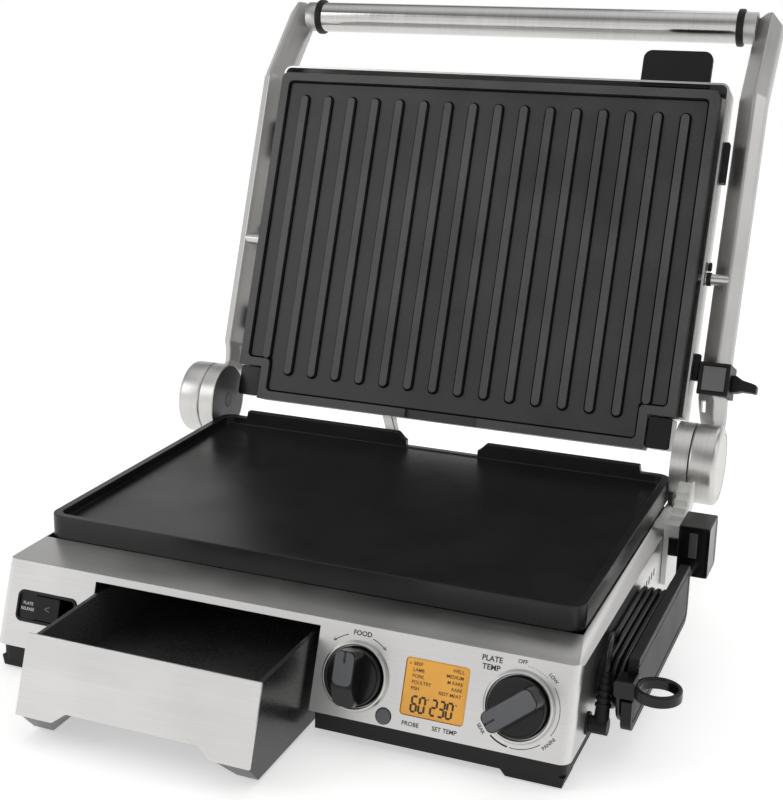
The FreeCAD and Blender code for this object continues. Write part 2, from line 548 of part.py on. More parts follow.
def make_dials():
    for name, x, s, turn in (("food_dial", FOOD_X, FOOD_S, 0.0), ("temp_dial", TEMP_X, TEMP_S, 129.0)):
        skirt = Part.makeCone(DIAL_R, DIAL_R - 1.4, 6.4, V(0, 0, 0.7), V(0, 0, 1))
        wing = rbox(-6.8, 6.8, -DIAL_R + 0.8, DIAL_R - 0.8, 7.0, WING_TOP, 4.6)
        knob = fuse(skirt, wing, rod((0, 0, -11.0), (0, 0, 1), 3.0, 12))
        knob = knob.cut(rbox(-5.3, 5.3, -DIAL_R + 2.2, DIAL_R - 2.2, WING_TOP - 1.2, WING_TOP + 1, 3.6))
        insert = rbox(-5.2, 5.2, -DIAL_R + 2.3, DIAL_R - 2.3, WING_TOP - 1.2, WING_TOP + 0.3, 3.5)
        for label, shape in ((name, knob), (name + "_insert", insert)):
            placed = shape.copy()
            placed.rotate(V(0, 0, 0), V(0, 0, 1), turn)
            placed.translate(V(x, -s, 0))
            keep(label, panel(placed))


def make_buttons():
    cap = fillet(rod((BUTTON_X, -BUTTON_S, -6.0), (0, 0, 1), BUTTON_R, 6.0 + BUTTON_PROUD), 0.8,
                 lambda e: abs(e.CenterOfMass.z - BUTTON_PROUD) < 1e-6)
    keep("select_button", panel(cap))
    x0 = RELEASE_X0 + 13.0
    button = fillet(box(x0, x0 + 16.0, -RELEASE_S1 + 2.3, -RELEASE_S0 - 2.3, -6.0, 0.8), 1.0,
                    along(V(0, 0, 1)))
    keep("release_button", panel(button))


# ---- lid arms -----------------------------------------------------------------------------------
def arm_section(r):
    return [(ARM_IN, r, ARM_BACK), (ARM_IN, r, ARM_BACK + 7), (ARM_RIDGE, r, ARM_FRONT),
            (ARM_OUT, r, ARM_FRONT - 8),
            (ARM_OUT, r, ARM_BACK)]


def make_arms():
    lean = math.atan2(-(HANDLE_N - (ARM_FRONT + ARM_BACK) / 2), HANDLE_R - BEND_R)
    straight = prism(arm_section(40.0), (0, BEND_R - 40.0, 0))
    middle = (ARM_FRONT + ARM_BACK) / 2
    reach = math.hypot(HANDLE_R - BEND_R, HANDLE_N - middle) + TUBE_R
    upper = prism(arm_section(0.0), (0, reach, 0))
    corner = [(ARM_OUT - ELBOW_CUT, reach), (ARM_OUT + 1, reach - 0.75 * (ELBOW_CUT + 1)),
              (ARM_OUT + 1, reach + 1),
              (ARM_OUT - ELBOW_CUT, reach + 1)]
    upper = upper.cut(prism([(x, r, ARM_BACK - 1) for x, r in corner], (0, 0, 30)))
    upper.rotate(V(0, 0, middle), V(1, 0, 0), -math.degrees(lean))
    upper.translate(V(0, BEND_R, 0))
    elbow_in = rod_x(HANDLE_R, HANDLE_N, TUBE_R, TUBE_END + 4.6, ARM_IN + 4.0)
    root_near = prism_x([(AXIS_R, AXIS_N - 20), (AXIS_R, AXIS_N), (22, -14), (31, -27), (38, -31),
                         (46, ARM_FRONT),
                         (46, ARM_BACK), (30, ARM_BACK), (12, -38)], HUB_SPLIT + 0.3, ARM_OUT)
    root_far = prism_x([(30, -30), (38, -31), (46, ARM_FRONT), (46, ARM_BACK), (30, ARM_BACK)], ARM_IN + 1.5,
                       ARM_OUT)
    hub = rod_x(AXIS_R, AXIS_N, HUB_R, HUB_SPLIT + 0.3, ARM_OUT)
    arm = fuse(straight, upper, elbow_in, root_near, root_far, hub)
    arm = cut(arm, rod_x(AXIS_R, AXIS_N, 7.0, HUB_SPLIT, ARM_OUT + 1),
              rod_x(TILT_R, TILT_N, TILT_PIN_R, ARM_IN - 2, ARM_OUT - 8),
              box(ARM_IN + 2.4, ARM_IN + 6.4, 35, 44, -50, 0))
    cap = Part.makeCone(HUB_R, HUB_R - 2.4, 2.4, V(HUB_OUT - 2.4, AXIS_R, AXIS_N), V(1, 0, 0))
    cap = fuse(rod_x(AXIS_R, AXIS_N, HUB_R, ARM_OUT, HUB_OUT - 2.4), cap)
    cap = cut(cap, rod_x(AXIS_R, AXIS_N, HUB_R - 6, ARM_OUT - 1, HUB_OUT - 2.4),
              rod_x(AXIS_R, AXIS_N, HUB_R - 5, HUB_OUT - 0.6, HUB_OUT + 1))
    bush = cut(rod_x(AXIS_R, AXIS_N, 7.0, HUB_SPLIT + 0.3, ARM_OUT),
               rod_x(AXIS_R, AXIS_N, HINGE_PIN_R + RUN, HUB_SPLIT, ARM_OUT + 1))
    pin = rod_x(TILT_R, TILT_N, TILT_PIN_R, LX - 7, ARM_OUT - 8)
    collar = rod_x(HANDLE_R, HANDLE_N, TUBE_R + 2.0, TUBE_END, TUBE_END + 4.6)
    for name, flip in (("right", lambda s: s), ("left", mirror)):
        keep("arm_" + name, lid(flip(arm)))
        keep("hub_cap_" + name, lid(flip(cap)))
    for name, piece in (("hinge_bushes", bush), ("tilt_pins", pin), ("handle_collars", collar)):
        keep(name, Part.makeCompound([lid(piece), lid(mirror(piece))]))
    tube = rod_x(HANDLE_R, HANDLE_N, TUBE_R, -TUBE_END, TUBE_END)
    keep("handle_tube", lid(tube.cut(rod_x(HANDLE_R, HANDLE_N, TUBE_R - 1.5, -TUBE_END - 1, TUBE_END + 1))))
    r0, r1 = 47.0, 68.5
    slider = cut(box(ARM_IN + 1.2, ARM_OUT + 2.2, r0, r1, ARM_BACK - 6, ARM_FRONT + 7),
                 box(ARM_IN - 1, ARM_OUT + 0.5, r0 - 1, r1 + 1, ARM_BACK - 0.5, ARM_FRONT + 0.5))
    keep("height_slider", lid(slider))
    lever = prism([(ARM_OUT + 2.2, r0 + 4, -41), (ARM_OUT + 2.2, r0 + 16, -41), (ARM_OUT + 12, r0 + 14, -41),
                   (ARM_OUT + 19, r0 + 9.5, -41), (ARM_OUT + 19, r0 + 5, -41), (ARM_OUT + 8, r0 + 5, -41)],
                   (0, 0, 13))
    keep("slider_lever", lid(lever))


# ---- upper grill, floating between the arms -----------------------------------------------------
def lid_form(inset):
    near, cut_far = 4.8 + inset, 21.0 + inset
    form = rbox(-LX + inset, LX - inset, near, LID_FAR - inset, LID_BACK + inset,
                LID_EDGE + (1 if inset else 0),
                5.5 - inset)
    form = fillet(form, 5.0 - inset, lambda e: abs(e.CenterOfMass.z - (LID_BACK + inset)) < 1e-6
                  and e.CenterOfMass.y > 100)
    slope = prism_x([(near - 2, UP_SKIRT - 0.8), (cut_far, LID_BACK + inset), (cut_far, LID_BACK - 5),
                     (near - 2, LID_BACK - 5)],
                    -LX - 1, LX + 1)
    form = cut(form, slope, box(-LX - 1, LX + 1, -5, 9, UP_SKIRT - 0.8, 5))
    for side in (-1, 1):
        lo, hi = sorted((side * (NOTCH_X - inset), side * (LX + 5)))
        form = cut(form, box(lo, hi, -5, NOTCH_R + inset, LID_BACK - 5, 5))
    return form


def plate_outline(inset, z0, z1, r):
    plate = rbox(-UX + inset, UX - inset, UP_NEAR + inset, UP_FAR - inset, z0, z1, r)
    for side in (-1, 1):
        lo, hi = sorted((side * (NOTCH_X - inset), side * (UX + 5)))
        plate = cut(plate, box(lo, hi, -5, NOTCH_R + inset, z0 - 1, z1 + 1))
    if inset > 0:
        corner_x, corner_y = NOTCH_X - inset, NOTCH_R + inset
        upright = along(V(0, 0, 1))
        plate = fillet(plate, r, lambda e: upright(e) and
                       ((abs(abs(e.CenterOfMass.x) - corner_x) < 1e-6 and e.CenterOfMass.y < corner_y + 1e-6)
                        or abs(e.CenterOfMass.y - corner_y) < 1e-6))
    return plate


def make_upper():
    shell = lid_form(0).cut(lid_form(SHEET))
    shell = cut(shell, rod_x(TILT_R, TILT_N, TILT_PIN_R + RUN, -LX - 5, LX + 5),
                box(-LX - 1, LX + 1, -5, NOTCH_R + SHEET + 0.4, UP_SKIRT - 0.8, 5),
                box(TAB_X0 - 0.4, TAB_X1 + 0.4, LID_FAR - 6, LID_FAR + 2, -26.5, -20.1))
    keep("upper_housing", lid(shell))
    depth = RIB_H
    plate = plate_outline(0, UP_SKIRT, UP_FACE, 4.5)
    plate = cut(plate, plate_outline(6.0, UP_FACE - depth, UP_FACE + 2, 3.5),
                plate_outline(CAST, UP_SKIRT - 1, UP_FACE - depth - CAST, 3.0),
                box(-26.5, 26.5, UP_NEAR - 1, UP_NEAR + 6.5, UP_FACE - depth, UP_FACE + 1))
    floor = UP_FACE - depth
    plate = plate.cut(cut(plate_outline(6.0, floor - GROOVE_D, floor + 1, 3.5),
                          plate_outline(6.0 + GROOVE_W, floor - GROOVE_D - 1, floor + 2, 2.2)))
    ribs = []
    for i in range(RIB_COUNT):
        x = (i - (RIB_COUNT - 1) / 2) * RIB_PITCH
        start = 35.0 if i in (0, RIB_COUNT - 1) else 25.0
        half = RIB_W / 2
        groove = rbox(x - half - GROOVE_W, x + half + GROOVE_W, start - GROOVE_W, UP_FAR - 17 + GROOVE_W,
                      floor - GROOVE_D, floor + 1, half + GROOVE_W - 0.05)
        plate = plate.cut(groove)
        ribs.append(rbox(x - half, x + half, start, UP_FAR - 17, floor - GROOVE_D - 0.5, UP_FACE,
                         half - 0.05))
    keep("upper_plate", lid(plate.multiFuse(ribs)))
    pitch = (UP_FAR - UP_NEAR - 80) / 3
    rows = [UP_NEAR + 45 + i * pitch for i in range(4)]
    keep("upper_heating_element", lid(serpentine(UX - 18.8 - pitch / 2, rows, UP_FACE - depth - CAST - 3.4,
                                                 3.2)))
    keep("upper_heat_shield", lid(cut(box(-UX + 8, UX - 8, 34, UP_FAR - 6, UP_SKIRT - 4, UP_SKIRT - 0.2),
                                      box(-UX + 9, UX - 9, 35, UP_FAR - 7, UP_SKIRT - 3, UP_SKIRT + 1))))
    blocks = []
    for side in (-1, 1):
        lo, hi = sorted((side * (NOTCH_X + 0.6), side * (UX - 1.5)))
        blocks.append(lid(fillet(box(lo, hi, 6.5, NOTCH_R - 0.6, -30, -9.5), 2.0, along(V(0, 0, 1)))))
    keep("hinge_corner_blocks", Part.makeCompound(blocks))
    guides = []
    for side in (-1, 1):
        for r0, r1 in ((56, 74), (190, 218)):
            lo, hi = sorted((side * (LX + 0.02), side * (ARM_IN - 0.5)))
            guides.append(lid(box(lo, hi, r0, r1, -34, -26)))
    keep("side_guides", Part.makeCompound(guides))
    strap = prism([(-45, UP_NEAR, -15), (-35, UP_NEAR, -15), (-31, SPOUT_END, -15), (-41, SPOUT_END, -15)],
                  (0, 0, 1.5))
    flute = prism([(-42, UP_NEAR, -13.5), (-38, UP_NEAR, -13.5), (-34, SPOUT_END, -13.5),
                   (-37, SPOUT_END, -13.5)], (0, 0, 1.2))
    keep("drain_spout", lid(fuse(strap, flute)))
    tab = fillet(box(TAB_X0, TAB_X1, LID_FAR - 4.0, LID_FAR + 22.0, -26, -20.6), 6.0,
                 lambda e: along(V(0, 0, 1))(e) and e.CenterOfMass.y > LID_FAR + 10)
    keep("upper_release_tab", lid(tab))


def make_fasteners():
    screws = [fuse(rod((x, y, 4.2), (0, 0, 1), 3.4, 0.8), rod((x, y, 5.0), (0, 0, 1), SCREW_R, 7)) for x,
              y in SCREWS]
    keep("base_screws", Part.makeCompound(screws))


# ---- build, centre on the floor under the object's middle, write --------------------------------
CORD = ("probe_plug", "probe_lead_start", "probe_lead_coil", "probe_lead_end", "probe_handle", "probe_spike")

make_base_pan()
make_housing()
make_tray_bay()
make_lower_plate()
make_controls()
make_hinge_base()
rest_block_y = make_height_rack()
make_probe(rest_block_y)
make_tray()
make_dials()
make_buttons()
make_arms()
make_upper()
make_fasteners()

extent = FreeCAD.BoundBox()
for name, shape in nodes.items():
    if name not in CORD:
        extent.add(shape.BoundBox)
shift = V(-extent.Center.x, -extent.Center.y, 0)
print("shift %.3f %.3f" % (shift.x, shift.y))
for name, shape in nodes.items():
    shape.translate(shift)
    solids = shape.Solids
    if not shape.isValid() or not solids:
        print("BAD", name, shape.isValid(), len(solids))
    shape.exportStep("parts/" + name + ".step")
print(len(nodes), "nodes")
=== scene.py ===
import json
import math

import bpy
from mathutils import Matrix, Vector


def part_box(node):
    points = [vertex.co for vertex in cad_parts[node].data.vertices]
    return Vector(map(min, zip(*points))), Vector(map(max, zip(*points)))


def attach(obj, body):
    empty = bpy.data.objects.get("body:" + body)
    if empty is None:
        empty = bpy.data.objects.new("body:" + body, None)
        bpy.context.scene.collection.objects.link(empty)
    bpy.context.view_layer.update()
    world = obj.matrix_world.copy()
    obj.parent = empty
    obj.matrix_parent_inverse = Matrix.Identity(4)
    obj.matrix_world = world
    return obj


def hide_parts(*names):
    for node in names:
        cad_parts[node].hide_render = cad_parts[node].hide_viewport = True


# Panini press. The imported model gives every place; this script gives the looks.
# Pieces are modelled in millimetres in one of three local frames, then settled into the press in metres.

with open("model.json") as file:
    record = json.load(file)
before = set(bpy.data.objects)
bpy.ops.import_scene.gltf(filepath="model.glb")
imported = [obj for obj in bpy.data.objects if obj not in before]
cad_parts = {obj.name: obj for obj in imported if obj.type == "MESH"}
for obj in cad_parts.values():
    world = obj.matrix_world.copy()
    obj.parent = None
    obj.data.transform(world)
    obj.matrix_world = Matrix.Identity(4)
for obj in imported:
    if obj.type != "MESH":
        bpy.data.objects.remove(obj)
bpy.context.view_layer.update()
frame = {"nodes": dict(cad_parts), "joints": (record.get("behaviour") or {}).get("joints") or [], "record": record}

# ---- places read from the frame ---------------------------------------------------------------
MM = 0.001
joints = {j["name"]: j for j in frame["joints"]}
hub = Vector(joints["lid_hinge"]["pos_m"])
HUB_Y = 120.4                                # the hinge axis, behind the origin of the sizes below
LID_Y, LID_Z = 112.4, 91.1                   # origin of the lid's own frame
LID_TURN = math.radians(-joints["lid_hinge"]["range_deg"][0])
housing_low, housing_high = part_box("lower_housing")
middle_x = (housing_low[0] + housing_high[0]) / 2

PRESS = Matrix.Translation((middle_x, hub.y - HUB_Y * MM, 0)) @ Matrix.Scale(MM, 4)
# The lid's own frame: x, out from the hinge, plate side up.
LID = PRESS @ Matrix.Translation((0, LID_Y, LID_Z)) @ Matrix.Rotation(LID_TURN, 4, "X")
AXIS_R, AXIS_N = (LID.inverted() @ Vector((middle_x, hub.y, hub.z))).yz
# The control panel's own frame: x, up the slope from its top edge, outwards.
outwards = Vector(joints["temp_dial_turn"]["axis"])
up_slope = outwards.cross(Vector((1, 0, 0)))
FOOD_X, FOOD_S = 53.1, 27.2
TEMP_X, TEMP_S = 142.7, 25.7
PANEL_SLOPE = math.atan2(up_slope.z, up_slope.y)
panel_top = Vector(joints["food_dial_turn"]["pos_m"]) + up_slope * FOOD_S * MM
PANEL = (Matrix.Translation((middle_x, panel_top.y, panel_top.z)) @ Matrix.Rotation(PANEL_SLOPE, 4, "X")
         @ Matrix.Scale(MM, 4))


# ---- camera, floor and light ------------------------------------------------------------------
def aim(azimuth, elevation, roll=0.0):
    """A turn that looks along +Y at azimuth 0 and along -X at 90, from above the horizon by elevation."""
    tilt = math.radians(90 - elevation)
    return (Matrix.Rotation(math.radians(azimuth), 4, "Z") @ Matrix.Rotation(tilt, 4, "X")
            @ Matrix.Rotation(math.radians(roll), 4, "Z"))


CAMERA_PLACE = (324.51, -826.35, 401.54)      # millimetres, in the press's frame
CAMERA_AIM = (23.294, 16.3585, 0.6006)        # azimuth, elevation and roll in degrees
LENS_MM = 67.5
LENS_SHIFT_X = 0.0772
camera_data = bpy.data.cameras.new("camera")
camera_data.lens = LENS_MM
camera_data.shift_x = LENS_SHIFT_X
camera = bpy.data.objects.new("camera", camera_data)
camera.matrix_world = Matrix.Translation(PRESS @ Vector(CAMERA_PLACE)) @ aim(*CAMERA_AIM)
bpy.context.scene.collection.objects.link(camera)
bpy.context.scene.camera = camera


SOFTBOX_DISTANCE = 1.8                        # metres from a point in the middle of the press
MIDDLE_Z = 0.15


def softbox(name, azimuth, elevation, size, power):
    """A square lamp that faces the press from a compass direction, with its power in watts."""
    lamp = bpy.data.lights.new(name, "AREA")
    lamp.size = size
    lamp.energy = power
    holder = bpy.data.objects.new(name, lamp)
    turn = aim(azimuth, elevation)
    middle = Vector((0, 0, MIDDLE_Z))
    holder.matrix_world = Matrix.Translation(turn @ Vector((0, 0, SOFTBOX_DISTANCE)) + middle) @ turn
    bpy.context.scene.collection.objects.link(holder)


softbox("softbox_front_left", -48, 30, 0.8, 5)
softbox("softbox_right", 98, 30, 0.7, 2.5)
softbox("softbox_back", 168, 40, 1.0, 3)


# ---- modelling helpers ------------------------------------------------------------------------
def fresh():
    """Leaves edit mode with nothing selected."""
    if bpy.context.object and bpy.context.object.mode != "OBJECT":
        bpy.ops.object.mode_set(mode="OBJECT")
    bpy.ops.object.select_all(action="DESELECT")


def hold(*pieces):
    """Selects pieces, the first one active."""
    fresh()
    for piece in pieces:
        piece.select_set(True)
    bpy.context.view_layer.objects.active = pieces[0]
    return pieces[0]


def block(x0, x1, y0, y1, z0, z1):
    fresh()
    bpy.ops.mesh.primitive_cube_add(size=1, location=((x0 + x1) / 2, (y0 + y1) / 2, (z0 + z1) / 2))
    piece = bpy.context.object
    piece.scale = (x1 - x0, y1 - y0, z1 - z0)
    bpy.ops.object.transform_apply(location=True, rotation=True, scale=True)
    return piece


AXIS_TURN = {"X": (0, math.pi / 2, 0), "Y": (math.pi / 2, 0, 0), "Z": (0, 0, 0)}


def drum(axis, centre, radius, depth, sides=96):
    fresh()
    bpy.ops.mesh.primitive_cylinder_add(vertices=sides, radius=radius, depth=depth, location=centre,
                                        rotation=AXIS_TURN[axis])
    bpy.ops.object.transform_apply(location=True, rotation=True, scale=True)
    return bpy.context.object


def choose(piece, kind, test):
    """Edit mode on a piece, with the faces or edges that pass the test selected."""
    hold(piece)
    bpy.ops.object.mode_set(mode="EDIT")
    bpy.ops.mesh.select_mode(type=kind)
    bpy.ops.mesh.select_all(action="DESELECT")
    bpy.ops.object.mode_set(mode="OBJECT")
    mesh = piece.data
    if kind == "FACE":
        for face in mesh.polygons:
            face.select = bool(test(face.center, face.normal))
    else:
        for edge in mesh.edges:
            a, b = (mesh.vertices[i].co for i in edge.vertices)
            edge.select = bool(test((a + b) / 2, (b - a).normalized()))
    bpy.ops.object.mode_set(mode="EDIT")


def draw_out(x=0, y=0, z=0):
    """Extrudes the selected faces."""
    bpy.ops.mesh.extrude_region_move(TRANSFORM_OT_translate={"value": (x, y, z)})


SMOOTH_ANGLE = math.radians(30)             # faces that meet at less than this shade as one


def flat_faces_first(piece):
    """Lets large flat faces set the shading, so that only the rounded edges between them turn the light."""
    hold(piece)
    piece.modifiers.new("shading", "WEIGHTED_NORMAL").keep_sharp = True
    bpy.ops.object.modifier_apply(modifier="shading")


def soften(piece, width, segments=3, angle=30):
    """Rounds every sharp edge and smooths the shading between them."""
    hold(piece)
    modifier = piece.modifiers.new("edges", "BEVEL")
    modifier.width = width
    modifier.segments = segments
    modifier.angle_limit = math.radians(angle)
    modifier.harden_normals = True
    bpy.ops.object.modifier_apply(modifier="edges")
    bpy.ops.object.shade_smooth_by_angle(angle=math.radians(angle))
    flat_faces_first(piece)
    return piece


def round_corners(piece, direction, radius, segments=6):
    """Rounds the edges that run along one direction."""
    way = Vector(direction)
    choose(piece, "EDGE", lambda at, run: abs(run.dot(way)) > 0.999)
    bpy.ops.mesh.bevel(offset=radius, segments=segments, affect="EDGES")
    fresh()
    return piece


def cut_away(piece, *tools):
    for tool in tools:
        hold(piece)
        modifier = piece.modifiers.new("cut", "BOOLEAN")
        modifier.operation = "DIFFERENCE"
        modifier.solver = "EXACT"
        modifier.object = tool
        bpy.ops.object.modifier_apply(modifier="cut")
        hold(tool)
        bpy.ops.object.delete()
    return piece


def cut_plane(piece, at, normal, fill=True, keep_far=False):
    """Cuts a piece along a plane and keeps the side behind the normal, or the far side."""
    hold(piece)
    bpy.ops.object.mode_set(mode="EDIT")
    bpy.ops.mesh.select_all(action="SELECT")
    bpy.ops.mesh.bisect(plane_co=at, plane_no=normal, use_fill=fill,
                        clear_outer=not keep_far, clear_inner=keep_far)
    fresh()


def joined(*pieces):
    hold(*pieces)
    bpy.ops.object.join()
    return pieces[0]


def copied(piece):
    hold(piece)
    bpy.ops.object.duplicate()
    return bpy.context.object


def face_outwards(piece):
    hold(piece)
    bpy.ops.object.mode_set(mode="EDIT")
    bpy.ops.mesh.select_all(action="SELECT")
    bpy.ops.mesh.remove_doubles(threshold=0.001)
    bpy.ops.mesh.normals_make_consistent(inside=False)
    fresh()
    return piece


def mirrored(piece):
    """A copy on the other side of the middle plane, with its faces turned outwards again."""
    other = copied(piece)
    other.scale = (-1, 1, 1)
    bpy.ops.object.transform_apply(location=True, rotation=True, scale=True)
    face_outwards(other)
    bpy.ops.object.shade_smooth_by_angle(angle=SMOOTH_ANGLE)
    return other


def settle(piece, name, where, body, material, stands_for=()):
    """Puts a finished piece in its place in the press, in metres, and ties it to its body."""
    hold(piece)
    piece.matrix_world = where @ piece.matrix_world
    bpy.ops.object.transform_apply(location=True, rotation=True, scale=True)
    piece.name = name
    piece.data.materials.clear()
    piece.data.materials.append(material)
    if stands_for:
        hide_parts(*stands_for)
    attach(piece, body)
    return piece


# ---- materials --------------------------------------------------------------------------------
def linear(hex_colour):
    """An sRGB hex colour as linear red, green, blue and alpha."""
    parts = [int(hex_colour[i:i + 2], 16) / 255 for i in (1, 3, 5)]
    return [c / 12.92 if c <= 0.04045 else ((c + 0.055) / 1.055) ** 2.4 for c in parts] + [1.0]


def add(tree, kind, values=None, links=None, **settings):
    """Adds a node with its settings, its input values and the links into it."""
    node = tree.nodes.new(kind)
    for key, value in settings.items():
        setattr(node, key, value)
    for key, value in (values or {}).items():
        node.inputs[key].default_value = value
    for key, source in (links or {}).items():
        tree.links.new(source, node.inputs[key])
    return node


BROAD_SPACING = 45                          # mm between the broad faint patches on every finish


def surface(name, light, dark, metallic, roughness, rough_spread, spacing, bump=0.0, depth=0.0,
            smudge=0.04, stretch=(1, 1, 1), **shader):
    """A finish whose grain has a real spacing in millimetres, along with a broad faint unevenness.

    Depth is the bump's height in mm. Stretch draws the grain out along an axis where its number is small."""
    material = bpy.data.materials.new(name)
    material.use_nodes = True
    tree = material.node_tree
    tree.nodes.clear()
    where = add(tree, "ShaderNodeTexCoord")
    scale = [s / (spacing * MM) for s in stretch]
    placed = add(tree, "ShaderNodeMapping", {"Scale": scale}, {"Vector": where.outputs["Object"]})
    grain = add(tree, "ShaderNodeTexNoise", {"Scale": 1.0, "Detail": 3.0, "Roughness": 0.6},
                {"Vector": placed.outputs["Vector"]})
    broad = add(tree, "ShaderNodeTexNoise", {"Scale": 1 / (BROAD_SPACING * MM), "Detail": 2.0},
                {"Vector": where.outputs["Object"]})
    both = add(tree, "ShaderNodeMath", None, {0: grain.outputs["Fac"], 1: broad.outputs["Fac"]},
               operation="ADD")
    half = add(tree, "ShaderNodeMath", {1: 0.5}, {0: both.outputs[0]}, operation="MULTIPLY")
    colour = add(tree, "ShaderNodeValToRGB", None, {"Fac": half.outputs[0]})
    colour.color_ramp.elements[0].position = 0.38
    colour.color_ramp.elements[0].color = linear(dark)
    colour.color_ramp.elements[1].position = 0.62
    colour.color_ramp.elements[1].color = linear(light)
    low, high = 0.3, 0.7                        # a noise stays mostly between these
    rough = add(tree, "ShaderNodeMapRange",
                {"From Min": low, "From Max": high, "To Min": roughness - rough_spread,
                 "To Max": roughness + rough_spread}, {"Value": grain.outputs["Fac"]})
    uneven = add(tree, "ShaderNodeMapRange",
                 {"From Min": low, "From Max": high, "To Min": -smudge, "To Max": smudge},
                 {"Value": broad.outputs["Fac"]})
    total = add(tree, "ShaderNodeMath", None, {0: rough.outputs[0], 1: uneven.outputs[0]}, operation="ADD",
                use_clamp=True)
    links = {"Base Color": colour.outputs["Color"], "Roughness": total.outputs[0]}
    if bump:
        relief = add(tree, "ShaderNodeBump", {"Strength": bump, "Distance": depth * MM},
                     {"Height": grain.outputs["Fac"]})
        links["Normal"] = relief.outputs["Normal"]
    values = {"Metallic": metallic}
    values.update(shader)
    body = add(tree, "ShaderNodeBsdfPrincipled", values, links)
    add(tree, "ShaderNodeOutputMaterial", None, {"Surface": body.outputs["BSDF"]})
    return material


# Brushed 430 stainless: fine lines along the sheet that pull highlights out sideways.
# Real brush lines are 0.1 mm apart; they are drawn 0.4 mm apart so that they show.
brushed_sheet = surface("brushed_stainless_sheet", "#dddcda", "#d2d1cf", 1.0, 0.34, 0.03, 0.4,
                        0.03, 0.02, stretch=(0.008, 1, 1), Anisotropic=0.3)
# The same steel spun on a lathe: the lines run round the hub, so bands of light run across it.
spun_steel = surface("circular_brushed_stainless", "#d2d1cf", "#c9c8c5", 1.0, 0.34, 0.02, 0.9,
                     0.02, 0.01, stretch=(1, 0.004, 0.004), Anisotropic=0.3)
# Arms: the brush follows their length, and the finish is a little softer. Their colour is darker than the sheet's:
# painted shade.
brushed_arm_painted_shade = surface("brushed_stainless_arm_painted_shade", "#c2c1bf", "#b4b3b1", 1.0, 0.42, 0.03, 0.4,
                      0.03, 0.02, stretch=(1, 0.01, 0.01))
# Polished stainless tube: nearly a mirror, with faint rings left from polishing.
polished_tube = surface("polished_stainless_tube", "#cbcac8", "#bdbcba", 1.0, 0.16, 0.03, 0.8,
                        0.02, 0.02, stretch=(1, 0.03, 0.03))
# Cast aluminium die under sprayed PTFE: dark grey, satin, with an orange-peel grain of about 0.8 mm.
coated_ribbed = surface("ptfe_coated_ribbed_plate", "#383838", "#242424", 0.0, 0.46, 0.07, 0.8,
                        0.45, 0.14)
# In the cast grooves the coating is darker and duller: the darkness is painted shade in the recesses.
coated_groove_painted_shade = surface("ptfe_coated_groove_painted_shade", "#0b0b0b", "#070707", 0.0, 0.65, 0.05, 0.8,
                        0.2, 0.05, **{"Specular IOR Level": 0.15})
# The rib tops are paler: painted highlight where the light catches them.
coated_painted_highlight = surface("ptfe_coated_painted_highlight_ribs", "#4c4c4c", "#393939", 0.0, 0.42, 0.07, 0.8, 0.4, 0.12)
# Black-oxide steel for the hinge pins.
black_oxide = surface("black_oxide_steel", "#1e1e20", "#141416", 0.6, 0.4, 0.04, 0.6, 0.05, 0.02)
# The griddle has the same coating, smoother and darker.
coated_flat = surface("ptfe_coated_griddle", "#191919", "#121212", 0.0, 0.30, 0.04, 0.5,
                      0.10, 0.03, **{"Specular IOR Level": 0.4})
# Moulded ABS with a fine spark-eroded texture: dull black.
moulded_black = surface("textured_abs", "#121213", "#0c0c0d", 0.0, 0.50, 0.06, 0.5,
                        0.18, 0.05, **{"Specular IOR Level": 0.3})
# The same plastic from a polished mould.
smooth_black = surface("polished_abs", "#0e0e0f", "#09090a", 0.0, 0.20, 0.03, 0.6,
                       0.03, 0.02, **{"Specular IOR Level": 0.35})
# The tray's tub is the same plastic, a little lighter than the polished ABS: painted reflection.
tray_black_painted_reflection = surface("polished_abs_tray_painted_reflection", "#171718", "#101011", 0.0, 0.26, 0.05, 0.9, 0.05, 0.03)
# The tub's inside, paler and grey: painted reflection on the inner walls.
tray_inside_painted_reflection = surface("abs_tray_inside_painted_reflection", "#4a4a4b", "#363637", 0.0, 0.30, 0.06, 1.5, 0.06, 0.04)
# Zinc-plated rack, dull white on its steps.
zinc_steel = surface("zinc_plated_steel", "#e4e4e1", "#d2d2cf", 0.55, 0.42, 0.04, 1.2, 0.03, 0.02)
# Mid-grey nylon face of the slider.
nylon_mid = surface("mid_grey_nylon", "#6a6a6b", "#58585a", 0.0, 0.48, 0.05, 0.6, 0.12, 0.04)
# Glass-filled nylon on parts near the heat: dark grey, slightly streaked along the flow.
nylon_grey = surface("glass_filled_nylon", "#39393b", "#2c2c2e", 0.0, 0.46, 0.05, 0.5,
                     0.15, 0.05, stretch=(1, 0.4, 1))
# Satin grey paint on the dials' bars, the button and its mark.
satin_grey = surface("satin_grey_paint", "#5d5e60", "#505153", 0.0, 0.38, 0.04, 0.4, 0.06, 0.03)
# Pad-printed marks on black plastic: off-white ink.
white_ink = surface("pad_printed_white_ink", "#c9c9c7", "#b5b5b3", 0.0, 0.55, 0.04, 0.3)
# EPDM feet: matte, a little dusty.
foot_rubber = surface("epdm_rubber", "#1c1c1c", "#131313", 0.0, 0.75, 0.08, 0.7, 0.2, 0.08)
# Silicone lead: smooth skin with a soft sheen.
lead_rubber = surface("silicone_rubber_lead", "#101011", "#0a0a0b", 0.0, 0.30, 0.05, 0.8, 0.05, 0.03)
# Bright pressed steel: bay, chute, clips, pins and screws.
plain_steel = surface("bright_pressed_steel", "#d2d2cf", "#bfbfbc", 1.0, 0.30, 0.05, 0.9, 0.06, 0.03)
# Incoloy heating tube, dulled by heat.
heater_tube = surface("incoloy_heating_tube", "#5f5b57", "#4b4744", 0.9, 0.45, 0.08, 0.8, 0.1, 0.04)
# Solder-masked circuit board.
board_green = surface("solder_masked_board", "#1f6a3c", "#185630", 0.0, 0.3, 0.05, 1.0, 0.05, 0.02)
# Oil-filled sintered bronze.
bush_bronze = surface("sintered_bronze", "#b18a52", "#96733f", 0.9, 0.4, 0.07, 0.4, 0.2, 0.05)
